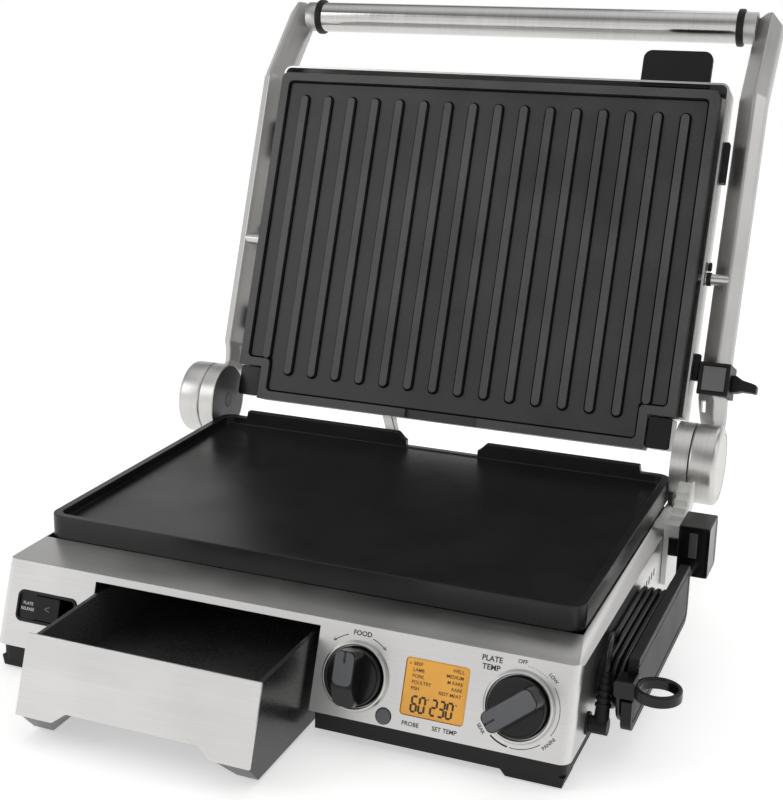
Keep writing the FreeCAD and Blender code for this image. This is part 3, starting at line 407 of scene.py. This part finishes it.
# Screen-printed ink: flat dark grey with slightly uneven cover.
panel_ink = surface("screen_printed_ink", "#2c2c2e", "#1e1e20", 0.0, 0.6, 0.05, 0.3)
# Liquid-crystal segments: dark brown against the backlight.
crystal = surface("liquid_crystal_segment", "#3e2206", "#301a04", 0.0, 0.3, 0.03, 0.5)
# Backlit amber window under clear acrylic: it glows, with a gloss coat.
amber_window = surface("amber_backlit_window", "#e6a83a", "#d0902c", 0.0, 0.30, 0.03, 24.0,
                       0, 0, 0.02,
                       **{"Coat Weight": 0.4, "Coat Roughness": 0.08,
                          "Emission Color": linear("#efa62a"), "Emission Strength": 0.12})
# Matt white light table under the press.
studio_floor = surface("matt_white_light_table", "#f4f4f3", "#f1f1f0", 0.0, 0.85, 0.02, 8.0,
                       **{"Emission Color": (1.0, 1.0, 1.0, 1.0), "Emission Strength": 0.5})

FLOOR_SIZE = 14.0
fresh()
bpy.ops.mesh.primitive_plane_add(size=FLOOR_SIZE, location=(0, 0, 0))
floor = bpy.context.object
floor.name = "studio_floor"
floor.data.materials.append(studio_floor)

# Studio: white walls all round at eye level, darker overhead, so that steel shows its form.
world = bpy.data.worlds.new("studio")
bpy.context.scene.world = world
world.use_nodes = True
sky = world.node_tree
direction = add(sky, "ShaderNodeTexCoord")
height = add(sky, "ShaderNodeSeparateXYZ", None, {"Vector": direction.outputs["Generated"]})
shade = add(sky, "ShaderNodeValToRGB", None, {"Fac": height.outputs["Z"]})
SKY_STOPS = ((0.0, 1.0), (0.24, 0.95), (0.44, 0.45), (0.68, 0.16), (1.0, 0.12))   # height, grey
for at, grey in SKY_STOPS:
    stop = shade.color_ramp.elements.new(at)
    stop.color = (grey, grey, grey, 1.0)
for end in (0, -1):
    grey = SKY_STOPS[end][1]
    shade.color_ramp.elements[end].color = (grey, grey, grey, 1.0)
sky.links.new(shade.outputs["Color"], sky.nodes["Background"].inputs["Color"])
sky.nodes["Background"].inputs["Strength"].default_value = 1.0
bpy.context.scene.view_settings.view_transform = "Standard"


# ---- probe lead -------------------------------------------------------------------------------
LEAD_RADIUS = 1.7
HOUSING_SIDE = 172.0                        # right side of the housing
SPOOL_FRONT, SPOOL_BACK, SPOOL_Z = -105.0, -14.0, 38.0     # centres of the core's two round ends
WIND_RADIUS = 14.5                          # corners of the turns; the curve runs a little inside them
HALF_TURNS = 7
POINTS_PER_HALF = 6
LEAD_FIRST_X, LEAD_LAST_X = 174.4, 187.7
RELIEF_TIP = Vector((179.0, -122.16, 49.88))     # where the lead leaves the plug's strain relief


def probe_lead():
    """One lead: out of its strain relief, over to the spool, round it, and up into the probe's grip."""
    tip = RELIEF_TIP
    points = [tuple(tip), (178.6, tip.y + 3.0, tip.z + 8.0), (177.2, tip.y + 12, tip.z + 12.5),
              (175.6, tip.y + 24, tip.z + 10.5), (174.7, tip.y + 36, 54.3), (174.4, tip.y + 47.5, 52.3)]
    total = HALF_TURNS * POINTS_PER_HALF
    for half in range(HALF_TURNS):
        at_back = half % 2 == 0
        centre_y = SPOOL_BACK if at_back else SPOOL_FRONT
        for i in range(POINTS_PER_HALF):
            angle = math.pi * (0.5 - i / (POINTS_PER_HALF - 1))
            if not at_back:
                angle += math.pi
            done = (half * POINTS_PER_HALF + i) / (total - 1)
            x = LEAD_FIRST_X + (LEAD_LAST_X - LEAD_FIRST_X) * done
            points.append((x, centre_y + WIND_RADIUS * math.cos(angle),
                           SPOOL_Z + WIND_RADIUS * math.sin(angle)))
    points += [(187.7, -100.0, 24.0), (187.7, -116.0, 23.9), (187.7, -126.0, 27.3), (187.8, -131.4, 35.2),
               (187.85, -132.0, 44.0)]
    curve = bpy.data.curves.new("probe_lead", "CURVE")
    curve.dimensions = "3D"
    line = curve.splines.new("NURBS")
    line.points.add(len(points) - 1)
    for point, place in zip(line.points, points):
        spot = PRESS @ Vector(place)
        point.co = (spot.x, spot.y, spot.z, 1.0)
    line.order_u = 3
    line.use_endpoint_u = True
    line.resolution_u = 8
    curve.bevel_depth = LEAD_RADIUS * MM
    curve.bevel_resolution = 5
    curve.use_fill_caps = True
    lead = bpy.data.objects.new("probe_lead", curve)
    bpy.context.scene.collection.objects.link(lead)
    curve.materials.append(lead_rubber)
    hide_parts("probe_lead_start", "probe_lead_coil", "probe_lead_end")
    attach(lead, "base")
    return lead


lead = probe_lead()

# ---- what stays from the frame, with its edges rounded ----------------------------------------
BODY_OF = {name: body for body, names in frame["record"]["behaviour"]["bodies"].items() for name in names}


def softened(node, width, material, segments=2, angle=35):
    """A copy of a frame node with its triangles merged into whole faces and its sharp edges rounded."""
    piece = copied(frame["nodes"][node])
    piece.parent = None
    for key in list(piece.keys()):
        del piece[key]
    hold(piece)
    bpy.ops.object.mode_set(mode="EDIT")
    bpy.ops.mesh.select_all(action="SELECT")
    bpy.ops.mesh.remove_doubles(threshold=1e-6)
    bpy.ops.mesh.dissolve_limited(angle_limit=math.radians(0.5), use_dissolve_boundaries=False,
                                  delimit={"NORMAL"})
    fresh()
    hold(piece)
    modifier = piece.modifiers.new("edges", "BEVEL")
    modifier.width = width * MM
    modifier.segments = segments
    modifier.angle_limit = math.radians(angle)
    modifier.use_clamp_overlap = True
    bpy.ops.object.modifier_apply(modifier="edges")
    bpy.ops.object.shade_smooth_by_angle(angle=math.radians(angle))
    flat_faces_first(piece)
    return settle(piece, node + "_shell", Matrix.Identity(4), BODY_OF[node], material,
                  (node,))


shells = {}
for node, width, material in (
        ("upper_plate", 0.35, coated_ribbed), ("lower_plate", 0.8, coated_flat),
        ("upper_housing", 0.45, brushed_sheet), ("lower_housing", 0.35, brushed_sheet),
        ("base_pan", 0.8, moulded_black), ("tray_tub", 0.7, tray_black_painted_reflection),
        ("tray_front", 0.5, brushed_sheet), ("height_rack", 0.3, zinc_steel),
        ("side_guides", 0.6, moulded_black), ("hinge_corner_blocks", 0.7, smooth_black),
        ("upper_release_tab", 1.0, moulded_black), ("food_dial_bezel", 0.5, spun_steel),
        ("temp_dial_bezel", 0.5, spun_steel), ("release_bezel", 0.4, smooth_black),
        ("release_button", 0.4, moulded_black), ("probe_plug", 0.4, moulded_black),
        ("rear_cover", 0.6, moulded_black), ("mains_gland", 0.8, moulded_black),
        ("hinge_bracket_left", 0.6, nylon_grey), ("hinge_bracket_right", 0.6, nylon_grey),
        ("hinge_ring_left", 1.0, spun_steel), ("hinge_ring_right", 1.0, spun_steel),
        ("handle_collars", 1.0, moulded_black), ("rubber_feet", 0.5, foot_rubber),
        ("probe_socket", 0.3, moulded_black)):
    shells[node] = softened(node, width, material)

UP_FACE, RIB_H, GROOVE_D = -7.7, 2.8, 1.3    # rim and rib tops, ribs over the field, grooves under it
RIBS_X, RIBS_R0, RIBS_R1 = 153.2, 12.0, 241.2          # the ribs lie within these
GROOVES_X, GROOVES_R0, GROOVES_R1 = 154.5, 10.8, 242.2
TRAY_INSIDE = ((-106.8, -400, 24.0), (24.8, 100, 54.4))     # corners of a box round the inner faces


def paint_light_in_box(piece, material, where, low, high):
    """Gives another material to the faces whose middles are inside a box of a local frame; here it paints shade,
    highlight and reflection.
    """
    inverse = where.inverted()
    hold(piece)
    piece.data.materials.append(material)

    def inside(at, normal):
        spot = inverse @ at
        return all(a < value < b for a, value, b in zip(low, spot, high))
    choose(piece, "FACE", inside)
    piece.active_material_index = len(piece.data.materials) - 1
    bpy.ops.object.material_slot_assign()
    fresh()


ribbed = shells["upper_plate"]
# Painted shade on the faces in the grooves.
paint_light_in_box(ribbed, coated_groove_painted_shade, LID, (-GROOVES_X, GROOVES_R0, UP_FACE - RIB_H - GROOVE_D - 0.3),
         (GROOVES_X, GROOVES_R1, UP_FACE - RIB_H - 0.25))
# Painted highlight on the rib tops.
paint_light_in_box(ribbed, coated_painted_highlight, LID, (-RIBS_X, RIBS_R0, UP_FACE - 0.45), (RIBS_X, RIBS_R1, UP_FACE + 0.1))
# Painted reflection on the tub's inner faces.
paint_light_in_box(shells["tray_tub"], tray_inside_painted_reflection, PRESS, *TRAY_INSIDE)

for node, material in (
        ("tray_bay", plain_steel), ("grease_chute", plain_steel),
        ("lower_heating_element", heater_tube), ("lower_heat_shield", plain_steel),
        ("plate_clips", plain_steel), ("control_board", board_green), ("power_board", board_green),
        ("display_module", moulded_black), ("dial_encoders", moulded_black),
        ("hinge_pins", black_oxide), ("drain_spout", plain_steel), ("probe_spike", plain_steel),
        ("base_screws", plain_steel), ("select_button", satin_grey), ("hinge_bushes", bush_bronze),
        ("tilt_pins", plain_steel), ("handle_tube", polished_tube),
        ("upper_heating_element", heater_tube), ("upper_heat_shield", plain_steel)):
    kept = frame["nodes"][node]
    kept.data.materials.clear()
    kept.data.materials.append(material)
    hold(kept)
    bpy.ops.object.shade_smooth_by_angle(angle=SMOOTH_ANGLE)

# ---- lid arms ---------------------------------------------------------------------------------
ARM_IN, ARM_RIDGE, ARM_OUT = 168.4, 178.3, 187.6
ARM_FRONT, ARM_BACK = -25.0, -44.0
HUB_SPLIT, HUB_R, HUB_OUT = 176.3, 26.0, 193.4     # joint of the hub's halves, radius, outer face
ARM_FOOT = 46.0                             # the straight part starts here and narrows towards the hub
BEND_R, HANDLE_R, HANDLE_N, TUBE_R = 250.0, 308.0, -62.0, 11.0
BEND_SPARE = 14                             # extra length on both sides of the mitre, cut off there
COLLAR_END = 161.8                          # outer face of the handle's collar
ELBOW_CUT = 12.0                            # corner taken off the top of each arm


def arm_bar(r0, r1):
    """A straight length of the arm's section, which has a ridge along its front."""
    bar = block(ARM_IN, ARM_OUT, r0, r1, ARM_BACK, ARM_FRONT)
    cut_plane(bar, (ARM_IN, 0, ARM_BACK + 7), (-12, 0, ARM_RIDGE - ARM_IN))
    cut_plane(bar, (ARM_OUT, 0, ARM_FRONT - 8), (8, 0, ARM_OUT - ARM_RIDGE))
    return bar


def lid_arm():
    """A folded arm: narrow at the hub, mitred and bent back above the plate, its top corner taken off."""
    middle = (ARM_FRONT + ARM_BACK) / 2
    lean = math.atan2(middle - HANDLE_N, HANDLE_R - BEND_R)
    reach = math.hypot(middle - HANDLE_N, HANDLE_R - BEND_R) + TUBE_R
    bend_at = Vector((0, BEND_R, middle))
    mitre = (0, math.cos(lean / 2), -math.sin(lean / 2))
    arm = arm_bar(ARM_FOOT, BEND_R + BEND_SPARE)
    cut_plane(arm, bend_at, mitre, fill=False)
    upper = arm_bar(BEND_R - BEND_SPARE, BEND_R + reach - 0.3)
    cut_plane(upper, (ARM_OUT - ELBOW_CUT, BEND_R + reach, 0), (0.75, 1, 0))
    hold(upper)
    upper.matrix_world = (Matrix.Translation(bend_at) @ Matrix.Rotation(-lean, 4, "X")
                          @ Matrix.Translation(-bend_at))
    bpy.ops.object.transform_apply(location=True, rotation=True, scale=True)
    cut_plane(upper, bend_at, mitre, fill=False, keep_far=True)
    arm = face_outwards(joined(arm, upper))
    # Towards the hub: where each section ends, its share of the full width, and how far it dips.
    sections = ((39.0, 0.97, -4.5), (31.0, 0.88, -2.0), (24.0, 0.72, 4.0), (10.0, 0.52, 6.0))
    choose(arm, "FACE", lambda at, normal: normal.y < -0.9)
    near, width = ARM_FOOT, 1.0
    for r, share, dip in sections:
        draw_out(y=r - near, z=dip)
        bpy.ops.transform.resize(value=(share / width, 1, 1), center_override=(ARM_OUT, r, ARM_BACK))
        near, width = r, share
    fresh()
    soften(arm, 1.4, 3, 12)
    stub = drum("X", ((ARM_IN + 2 + COLLAR_END) / 2, HANDLE_R, HANDLE_N), TUBE_R, ARM_IN + 2 - COLLAR_END)
    soften(stub, 0.5, 2)
    plate = drum("X", ((HUB_SPLIT + ARM_OUT) / 2, AXIS_R, AXIS_N), HUB_R - 0.5, ARM_OUT - HUB_SPLIT, 128)
    soften(plate, 0.3, 2)
    slot = block(ARM_IN + 2.6, ARM_IN + 6.2, 36.0, 44.0, ARM_BACK - 5, ARM_FRONT + 5)
    arm = cut_away(arm, slot)
    return joined(arm, stub, plate)


right_arm = lid_arm()
left_arm = mirrored(right_arm)
# The arms' darker steel colour is painted shade.
settle(right_arm, "arm_right_shell", LID, "arms", brushed_arm_painted_shade, ("arm_right",))
settle(left_arm, "arm_left_shell", LID, "arms", brushed_arm_painted_shade, ("arm_left",))


CAP_RIM, CAP_GROOVE, CAP_DISH = 4.2, 0.4, 12.0     # widths of the rings on the cap's face, from its edge


def hub_cap():
    """A turned cap over the arm's end: straight barrel, rounded shoulder, fine groove and dished face."""
    start = HUB_SPLIT + 0.1
    cap = drum("X", ((start + HUB_OUT) / 2, AXIS_R, AXIS_N), HUB_R, HUB_OUT - start, 160)
    choose(cap, "FACE", lambda at, normal: normal.x > 0.9)
    bpy.ops.mesh.inset(thickness=CAP_RIM)
    bpy.ops.mesh.inset(thickness=CAP_GROOVE)
    draw_out(x=-CAP_GROOVE)
    bpy.ops.mesh.inset(thickness=CAP_GROOVE)
    draw_out(x=0.3)
    bpy.ops.mesh.inset(thickness=CAP_DISH, depth=-0.4)
    fresh()
    choose(cap, "EDGE", lambda at, run: at.x > HUB_OUT - 0.05
           and math.hypot(at.y - AXIS_R, at.z - AXIS_N) > HUB_R - 0.2)
    bpy.ops.mesh.bevel(offset=3.6, segments=8, affect="EDGES")
    fresh()
    choose(cap, "EDGE", lambda at, run: at.x < HUB_SPLIT + 0.2)
    bpy.ops.mesh.bevel(offset=1.1, segments=4, affect="EDGES")
    fresh()
    hold(cap)
    bpy.ops.object.shade_smooth_by_angle(angle=math.radians(28))
    return cap


right_cap = hub_cap()
left_cap = mirrored(right_cap)
settle(right_cap, "hub_cap_right_turned", LID, "arms", spun_steel, ("hub_cap_right",))
settle(left_cap, "hub_cap_left_turned", LID, "arms", spun_steel, ("hub_cap_left",))


# ---- height slider on the right arm -----------------------------------------------------------
SLIDER_R0, SLIDER_R1 = 47.0, 68.5


def height_slider():
    """A collar round the arm with a framed, sunk front face."""
    outer = block(ARM_IN + 1.2, ARM_OUT + 2.2, SLIDER_R0, SLIDER_R1, ARM_BACK - 6, ARM_FRONT + 7)
    outer = cut_away(outer, block(ARM_IN - 1, ARM_OUT + 0.5, SLIDER_R0 - 1, SLIDER_R1 + 1, ARM_BACK - 0.5,
                                  ARM_FRONT + 0.5))
    choose(outer, "FACE", lambda at, normal: normal.z > 0.9 and at.z > ARM_FRONT + 6)
    bpy.ops.mesh.inset(thickness=2.2)
    draw_out(z=-0.9)
    fresh()
    return soften(outer, 0.6, 3)


def slider_face():
    face = block(ARM_IN + 3.9, ARM_OUT - 0.5, SLIDER_R0 + 2.7, SLIDER_R1 - 2.7,
                 ARM_FRONT + 5.8, ARM_FRONT + 6.5)
    choose(face, "FACE", lambda at, normal: normal.z > 0.9)
    bpy.ops.mesh.inset(thickness=0.8, depth=0.2)
    fresh()
    return soften(face, 0.15, 2, 10)


def slider_lever():
    """A finger lever that tapers outwards and turns up at its end."""
    y = SLIDER_R0
    lever = block(ARM_OUT + 2.0, ARM_OUT + 5.2, y + 4, y + 15.5, -41, -28)
    choose(lever, "FACE", lambda at, normal: normal.x > 0.9)
    draw_out(x=4.0)
    bpy.ops.transform.resize(value=(1, 0.66, 1), center_override=(0, y + 8.0, -34.5))
    draw_out(x=6.0, y=-0.6)
    bpy.ops.transform.resize(value=(1, 0.85, 0.9), center_override=(0, y + 8.0, -34.5))
    draw_out(x=3.6, y=-0.8)
    bpy.ops.transform.resize(value=(1, 0.9, 0.9), center_override=(0, y + 8.0, -34.5))
    fresh()
    return soften(lever, 1.1, 3, 20)


settle(height_slider(), "height_slider_collar", LID, "height_slider", moulded_black,
       ("height_slider",))
settle(slider_face(), "height_slider_face", LID, "height_slider", nylon_mid)
settle(slider_lever(), "height_slider_lever", LID, "height_slider", moulded_black,
       ("slider_lever",))


# ---- dials ------------------------------------------------------------------------------------
DIAL_R = 16.3
WING_TOP = 20.5                             # grip bar of a dial, above the panel


def dial_body(half_width, wedge):
    """A round skirt with a wide bar on it, both softly rounded. A wedge slopes down at its lower end."""
    skirt = drum("Z", (0, 0, 3.7), DIAL_R, 6.0, 128)
    choose(skirt, "FACE", lambda at, normal: normal.z > 0.9)
    bpy.ops.transform.resize(value=(0.92, 0.92, 1), center_override=(0, 0, 6.7))
    bpy.ops.mesh.inset(thickness=1.2, depth=-0.4)
    fresh()
    soften(skirt, 0.7, 3, 25)
    bar = block(-half_width, half_width, -DIAL_R + 0.9, DIAL_R - 0.9, 5.5, WING_TOP - 0.4)
    round_corners(bar, (0, 0, 1), half_width * 0.6, 8)
    choose(bar, "FACE", lambda at, normal: normal.z > 0.9)
    bpy.ops.transform.resize(value=(0.88, 0.97, 1), center_override=(0, 0, WING_TOP))
    bpy.ops.mesh.inset(thickness=0.7)
    draw_out(z=-0.5)
    fresh()
    if wedge:
        cut_plane(bar, (0, -4.0, WING_TOP - 0.4), (0, -0.62, 0.78))
    soften(bar, 0.35, 3, 25)
    return joined(skirt, bar)


def dial_bar(half_width, wedge):
    """The grey top of the bar, with a pointer groove at its upper end."""
    lower_end = -3.2 if wedge else -DIAL_R + 1.9
    top = block(-half_width, half_width, lower_end, DIAL_R - 1.9, WING_TOP - 1.4, WING_TOP - 0.2)
    round_corners(top, (0, 0, 1), half_width * 0.6, 8)
    middle = DIAL_R - 4.4
    cut_away(top, block(-0.55, 0.55, middle - 3.4, middle + 3.4, WING_TOP - 0.9, WING_TOP + 1))
    return soften(top, 0.2, 2, 25)


def place_on_panel(x, s, turn=0.0, n=0.0):
    return PANEL @ Matrix.Translation((x, -s, n)) @ Matrix.Rotation(math.radians(turn), 4, "Z")


for name, x, s, turn, half_width, wedge in (("food_dial", FOOD_X, FOOD_S, 0.0, 6.6, True),
                                            ("temp_dial", TEMP_X, TEMP_S, 129.0, 6.6, False)):
    here = place_on_panel(x, s, turn)
    settle(dial_body(half_width, wedge), name + "_knob", here, name, smooth_black, (name,))
    settle(dial_bar(half_width - 1.3, wedge), name + "_bar", here, name, satin_grey,
           (name + "_insert",))

# ---- probe spool, probe grip and its rest -----------------------------------------------------
FLANGE_X, FLANGE_T = 190.0, 5.5
CORE_R = 12
PROBE_X, PROBE_Z = 192.75, 48.5
HANDLE_Y = SPOOL_FRONT - 32.0


def probe_spool():
    """A racetrack core and a long flange with a dark groove along its outer face."""
    front, back = SPOOL_FRONT - 31, SPOOL_BACK + 32
    flange = block(FLANGE_X, FLANGE_X + FLANGE_T, front, back, 24.0, 61.0)
    round_corners(flange, (1, 0, 0), 7.0, 8)
    choose(flange, "FACE", lambda at, normal: normal.x > 0.9)
    bpy.ops.mesh.inset(thickness=4.2)
    draw_out(x=-0.7)
    bpy.ops.mesh.inset(thickness=0.9)
    draw_out(x=0.6)
    fresh()
    notch = block(FLANGE_X - 1, FLANGE_X + FLANGE_T + 1, front - 1, front + 12.2, 42.0, 62.0)
    flange = soften(cut_away(flange, notch), 0.6, 3, 30)
    core = block(HOUSING_SIDE + 0.05, FLANGE_X + 0.5, SPOOL_FRONT - CORE_R, SPOOL_BACK + CORE_R,
                 SPOOL_Z - CORE_R, SPOOL_Z + CORE_R)
    round_corners(core, (1, 0, 0), CORE_R - 0.05, 16)
    soften(core, 0.3, 2, 30)
    return joined(flange, core)


def probe_grip():
    """A flat finger ring on a small grip."""
    grip = block(PROBE_X - 7, PROBE_X + 4.0, HANDLE_Y, HANDLE_Y + 12.4, PROBE_Z - 4.5, PROBE_Z + 4.9)
    round_corners(grip, (0, 1, 0), 1.8, 4)
    choose(grip, "FACE", lambda at, normal: normal.y < -0.9)
    bpy.ops.mesh.inset(thickness=1.2, depth=-0.3)
    fresh()
    soften(grip, 0.5, 3, 30)
    centre = (PROBE_X + 14.6, HANDLE_Y + 5.0, PROBE_Z + 0.4)
    ring = drum("Z", centre, 12.2, 6.0, 96)
    ring = cut_away(ring, drum("Z", centre, 9.4, 9.0, 96))
    soften(ring, 0.8, 4, 30)
    return joined(grip, ring)


settle(probe_spool(), "probe_spool_moulding", PRESS, "base", moulded_black,
       ("probe_spool",))
grip = settle(probe_grip(), "probe_grip", PRESS, "base", smooth_black, ("probe_handle",))


rest_low, rest_high = (PRESS.inverted() @ Vector(corner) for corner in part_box("probe_rest_block"))


def rest_block():
    """The upright block that takes the spike's tip, on its stem, with sunk front and side faces."""
    a, b = rest_low, rest_high
    rest = block(HOUSING_SIDE + 12, b.x, a.y, b.y, a.z, b.z)
    choose(rest, "FACE", lambda at, normal: normal.y < -0.9 or normal.x > 0.9)
    bpy.ops.mesh.inset(thickness=2.6, depth=-0.8, use_individual=True)
    fresh()
    soften(rest, 1.0, 3, 20)
    stem = block(HOUSING_SIDE + 3.5, HOUSING_SIDE + 12.5, b.y - 12, b.y - 4, 50, 62)
    soften(stem, 0.8, 2)
    return joined(rest, stem)


def rest_painted_highlight():
    """A lighter upright strip on the block's front: a painted highlight."""
    a, b = rest_low, rest_high
    bar = block(HOUSING_SIDE + 18.5, HOUSING_SIDE + 23.5, a.y + 0.1, a.y + 2.0, a.z + 12, b.z - 4)
    return soften(bar, 0.6, 3)


settle(rest_block(), "probe_rest", PRESS, "base", smooth_black, ("probe_rest_block",))
# The grey strip is a painted highlight on the black block's front.
settle(rest_painted_highlight(), "probe_rest_painted_highlight", PRESS, "base", nylon_grey)

# ---- display ----------------------------------------------------------------------------------
GLASS_X0, GLASS_X1, GLASS_S0, GLASS_S1 = 80.0, 115.0, 11.3, 41.7


def display_window():
    window = block(GLASS_X0 + 0.2, GLASS_X1 - 0.2, -GLASS_S1 + 0.2, -GLASS_S0 - 0.2, -2.9, -0.7)
    round_corners(window, (0, 0, 1), 1.6, 6)
    choose(window, "FACE", lambda at, normal: normal.z > 0.9)
    bpy.ops.mesh.inset(thickness=0.6, depth=0.15)
    fresh()
    return soften(window, 0.1, 2, 12)


settle(display_window(), "display_window", PANEL, "base", amber_window, ("display_glass",))


def lettering(words, size, x, s, turn=0.0, n=0.02, weight=0.0, align="CENTER"):
    """Raised ink lettering on the panel, upright for someone facing it."""
    fresh()
    bpy.ops.object.text_add(location=(0, 0, 0))
    text = bpy.context.object
    text.data.body = words
    text.data.size = size
    text.data.align_x = align
    text.data.align_y = "CENTER"
    text.data.extrude = 0.015
    text.data.offset = weight
    text.data.resolution_u = 3
    bpy.ops.object.convert(target="MESH")
    text.matrix_world = Matrix.Translation((x, -s, n)) @ Matrix.Rotation(math.radians(turn), 4, "Z")
    bpy.ops.object.transform_apply(location=True, rotation=True, scale=True)
    return text


def ink_arc(x, s, radius, start, end, width, n=0.02):
    """A printed arc about a dial: start and end in degrees clockwise from the top."""
    fresh()
    bpy.ops.mesh.primitive_plane_add(size=1, location=(0, 0, 0))
    strip = bpy.context.object
    strip.scale = (0.02, width, 1)
    strip.location = (0, radius, n)
    bpy.ops.object.transform_apply(location=True, rotation=True, scale=True)
    choose(strip, "EDGE", lambda at, run: abs(run.y) > 0.9 and at.x > 0)
    steps = max(6, int(abs(end - start) / 4))
    bpy.ops.mesh.spin(steps=steps, angle=math.radians(end - start), center=(0, 0, n), axis=(0, 0, 1))
    fresh()
    hold(strip)
    strip.matrix_world = Matrix.Translation((x, -s, 0)) @ Matrix.Rotation(math.radians(-start), 4, "Z")
    bpy.ops.object.transform_apply(location=True, rotation=True, scale=True)
    return strip


def ink_dot(x, s, radius, n=0.03):
    return drum("Z", (x, -s, n / 2), radius, n, 10)


def about(x, s, radius, angle):
    """A place round a dial, by its angle in degrees clockwise from the top."""
    return x + radius * math.sin(math.radians(angle)), s - radius * math.cos(math.radians(angle))


TEMP_RING, TEMP_WORDS = 21.2, 23.4           # radii of the printed ring and of the words round the dial
FOOD_RING = 22.2
FOOD_ARROW_FROM, FOOD_ARROW_TO = 18, 40      # degrees from the top, on both sides
DOT_COUNT, DOT_STEP, DOT_FIRST, DOT_R = 9, 3.6, 6, 0.26
BOLD, PLAIN, LIGHT = 0.10, 0.07, 0.06        # how far the letters' outlines are pushed out


def panel_print():
    marks = [lettering(word, size, x, s, weight=weight) for word, size, x, s, weight in (
        ("FOOD", 3.7, 54.0, 4.4, BOLD), ("PLATE", 4.0, 125.6, 4.4, BOLD), ("TEMP", 4.0, 125.6, 8.8, BOLD),
        ("OFF", 2.9, 141.6, 2.9, LIGHT), ("PROBE", 3.2, 86.8, 45.9, PLAIN),
        ("SET TEMP", 3.2, 105.5, 45.7, PLAIN))]
    for word, angle in (("LOW", 42), ("PANINI", 131), ("SEAR", 231)):
        x, s = about(TEMP_X, TEMP_S, TEMP_WORDS, angle)
        turn = -angle if angle < 90 else 180 - angle
        marks.append(lettering(word, 2.6, x, s, turn, weight=LIGHT))
    for i in range(DOT_COUNT):
        marks.append(ink_dot(*about(TEMP_X, TEMP_S, TEMP_RING, DOT_FIRST + DOT_STEP * i), DOT_R))
    for start, end, width in ((52, 122, 0.35), (141, 186, 0.4), (189, 217, 0.9)):
        marks.append(ink_arc(TEMP_X, TEMP_S, TEMP_RING, start, end, width))
    for side in (-1, 1):
        marks.append(ink_arc(FOOD_X, FOOD_S, FOOD_RING, side * FOOD_ARROW_FROM, side * FOOD_ARROW_TO, 0.45))
        x, s = about(FOOD_X, FOOD_S, FOOD_RING, side * FOOD_ARROW_TO)
        marks.append(lettering("<" if side < 0 else ">", 3.4, x, s, -side * FOOD_ARROW_TO, weight=LIGHT))
    return joined(*marks)


settle(panel_print(), "panel_print", PANEL, "base", panel_ink)

# Which of the seven bars each figure lights: top, upper right, lower right, bottom, lower left, upper left
# and middle.
FIGURES = {"0": "1111110", "2": "1101101", "3": "1111001", "6": "1011111"}
BAR_WIDTH, BAR_GAP, FIGURE_SLANT = 1.15, 0.3, 0.08


def figure(which, x, s, width, height, n):
    """A seven-bar figure, slanted like a real display's."""
    bars = []
    w, h = width / 2, height / 2
    spots = ((0, h, True), (w, h / 2, False), (w, -h / 2, False), (0, -h, True), (-w, -h / 2, False),
             (-w, h / 2, False), (0, 0, True))
    for lit, (dx, dy, flat) in zip(FIGURES[which], spots):
        if lit == "1":
            cx, cy = x + dx + dy * FIGURE_SLANT, -s + dy
            long, wide = (w - BAR_GAP, BAR_WIDTH / 2) if flat else (BAR_WIDTH / 2, h / 2 - BAR_GAP)
            bar = block(cx - long, cx + long, cy - wide, cy + wide, n, n + 0.05)
            round_corners(bar, (0, 0, 1), 0.25, 2)
            bars.append(bar)
    return joined(*bars)


FIRST_ROW, ROW_PITCH = 14.4, 3.2             # rows of words on the display
WINDOW_TOP = -0.52                           # face of the window, under the panel's own face
THIN = 0.03


def display_print():
    top = WINDOW_TOP
    marks = []
    for x, align, words in ((84.2, "LEFT", ("BEEF", "LAMB", "PORK", "POULTRY", "FISH")),
                            (112.0, "RIGHT", ("WELL", "MEDIUM", "M RARE", "RARE", "REST MEAT"))):
        for i, word in enumerate(words):
            marks.append(lettering(word, 2.5, x, FIRST_ROW + ROW_PITCH * i, 0, top, THIN, align))
    for which, x in (("6", 87.2), ("0", 91.5), ("2", 98.0), ("3", 102.3), ("0", 106.6)):
        marks.append(figure(which, x, 35.2, 2.9, 8.0, top - 0.03))
    for x in (94.6, 109.8):
        marks.append(lettering("o", 1.8, x, 31.6, 0, top, THIN))
    marks.append(lettering("<", 2.4, 82.4, FIRST_ROW, 180, top, THIN))
    return joined(*marks)


settle(display_print(), "display_print", PANEL, "base", crystal)


# ---- plate-release print and button mark ------------------------------------------------------
def release_words():
    return joined(lettering("PLATE", 2.4, -153.8, 24.2, 0, -0.56, 0.05),
                  lettering("RELEASE", 2.4, -153.8, 27.4, 0, -0.56, 0.05))


settle(lettering("<", 7.0, -140.0, 25.8, 0, 0.84, 0.08), "release_mark", PANEL, "release_button",
       satin_grey)
settle(release_words(), "release_words", PANEL, "base", white_ink)


# ---- floating-pivot bolts and the arm's printed mark ------------------------------------------
def pivot_bolt():
    """A domed bolt head with a collar in the gap between the grill and the arm."""
    head = drum("X", (166.2, 125.0, -30.0), 4.6, 3.2, 48)
    soften(head, 0.6, 3)
    nut = drum("X", (165.6, 133.5, -31.0), 3.2, 2.2, 6)
    soften(nut, 0.4, 2)
    return joined(head, nut)


right_bolt = pivot_bolt()
left_bolt = mirrored(right_bolt)
settle(right_bolt, "pivot_bolts_right", LID, "upper_grill", moulded_black)
settle(left_bolt, "pivot_bolts_left", LID, "upper_grill", moulded_black)

bevel_turn = math.atan2(12.0, 11.5)         # turn of the arm's inner bevel, on which its mark is printed
on_bevel = LID @ Matrix.Translation((175.0, 122.0, -28.2)) @ Matrix.Rotation(-bevel_turn, 4, "Y")
settle(lettering("^", 7.0, 0, 0, 0, 0.0, 0.08), "arm_mark", on_bevel, "arms", panel_ink)
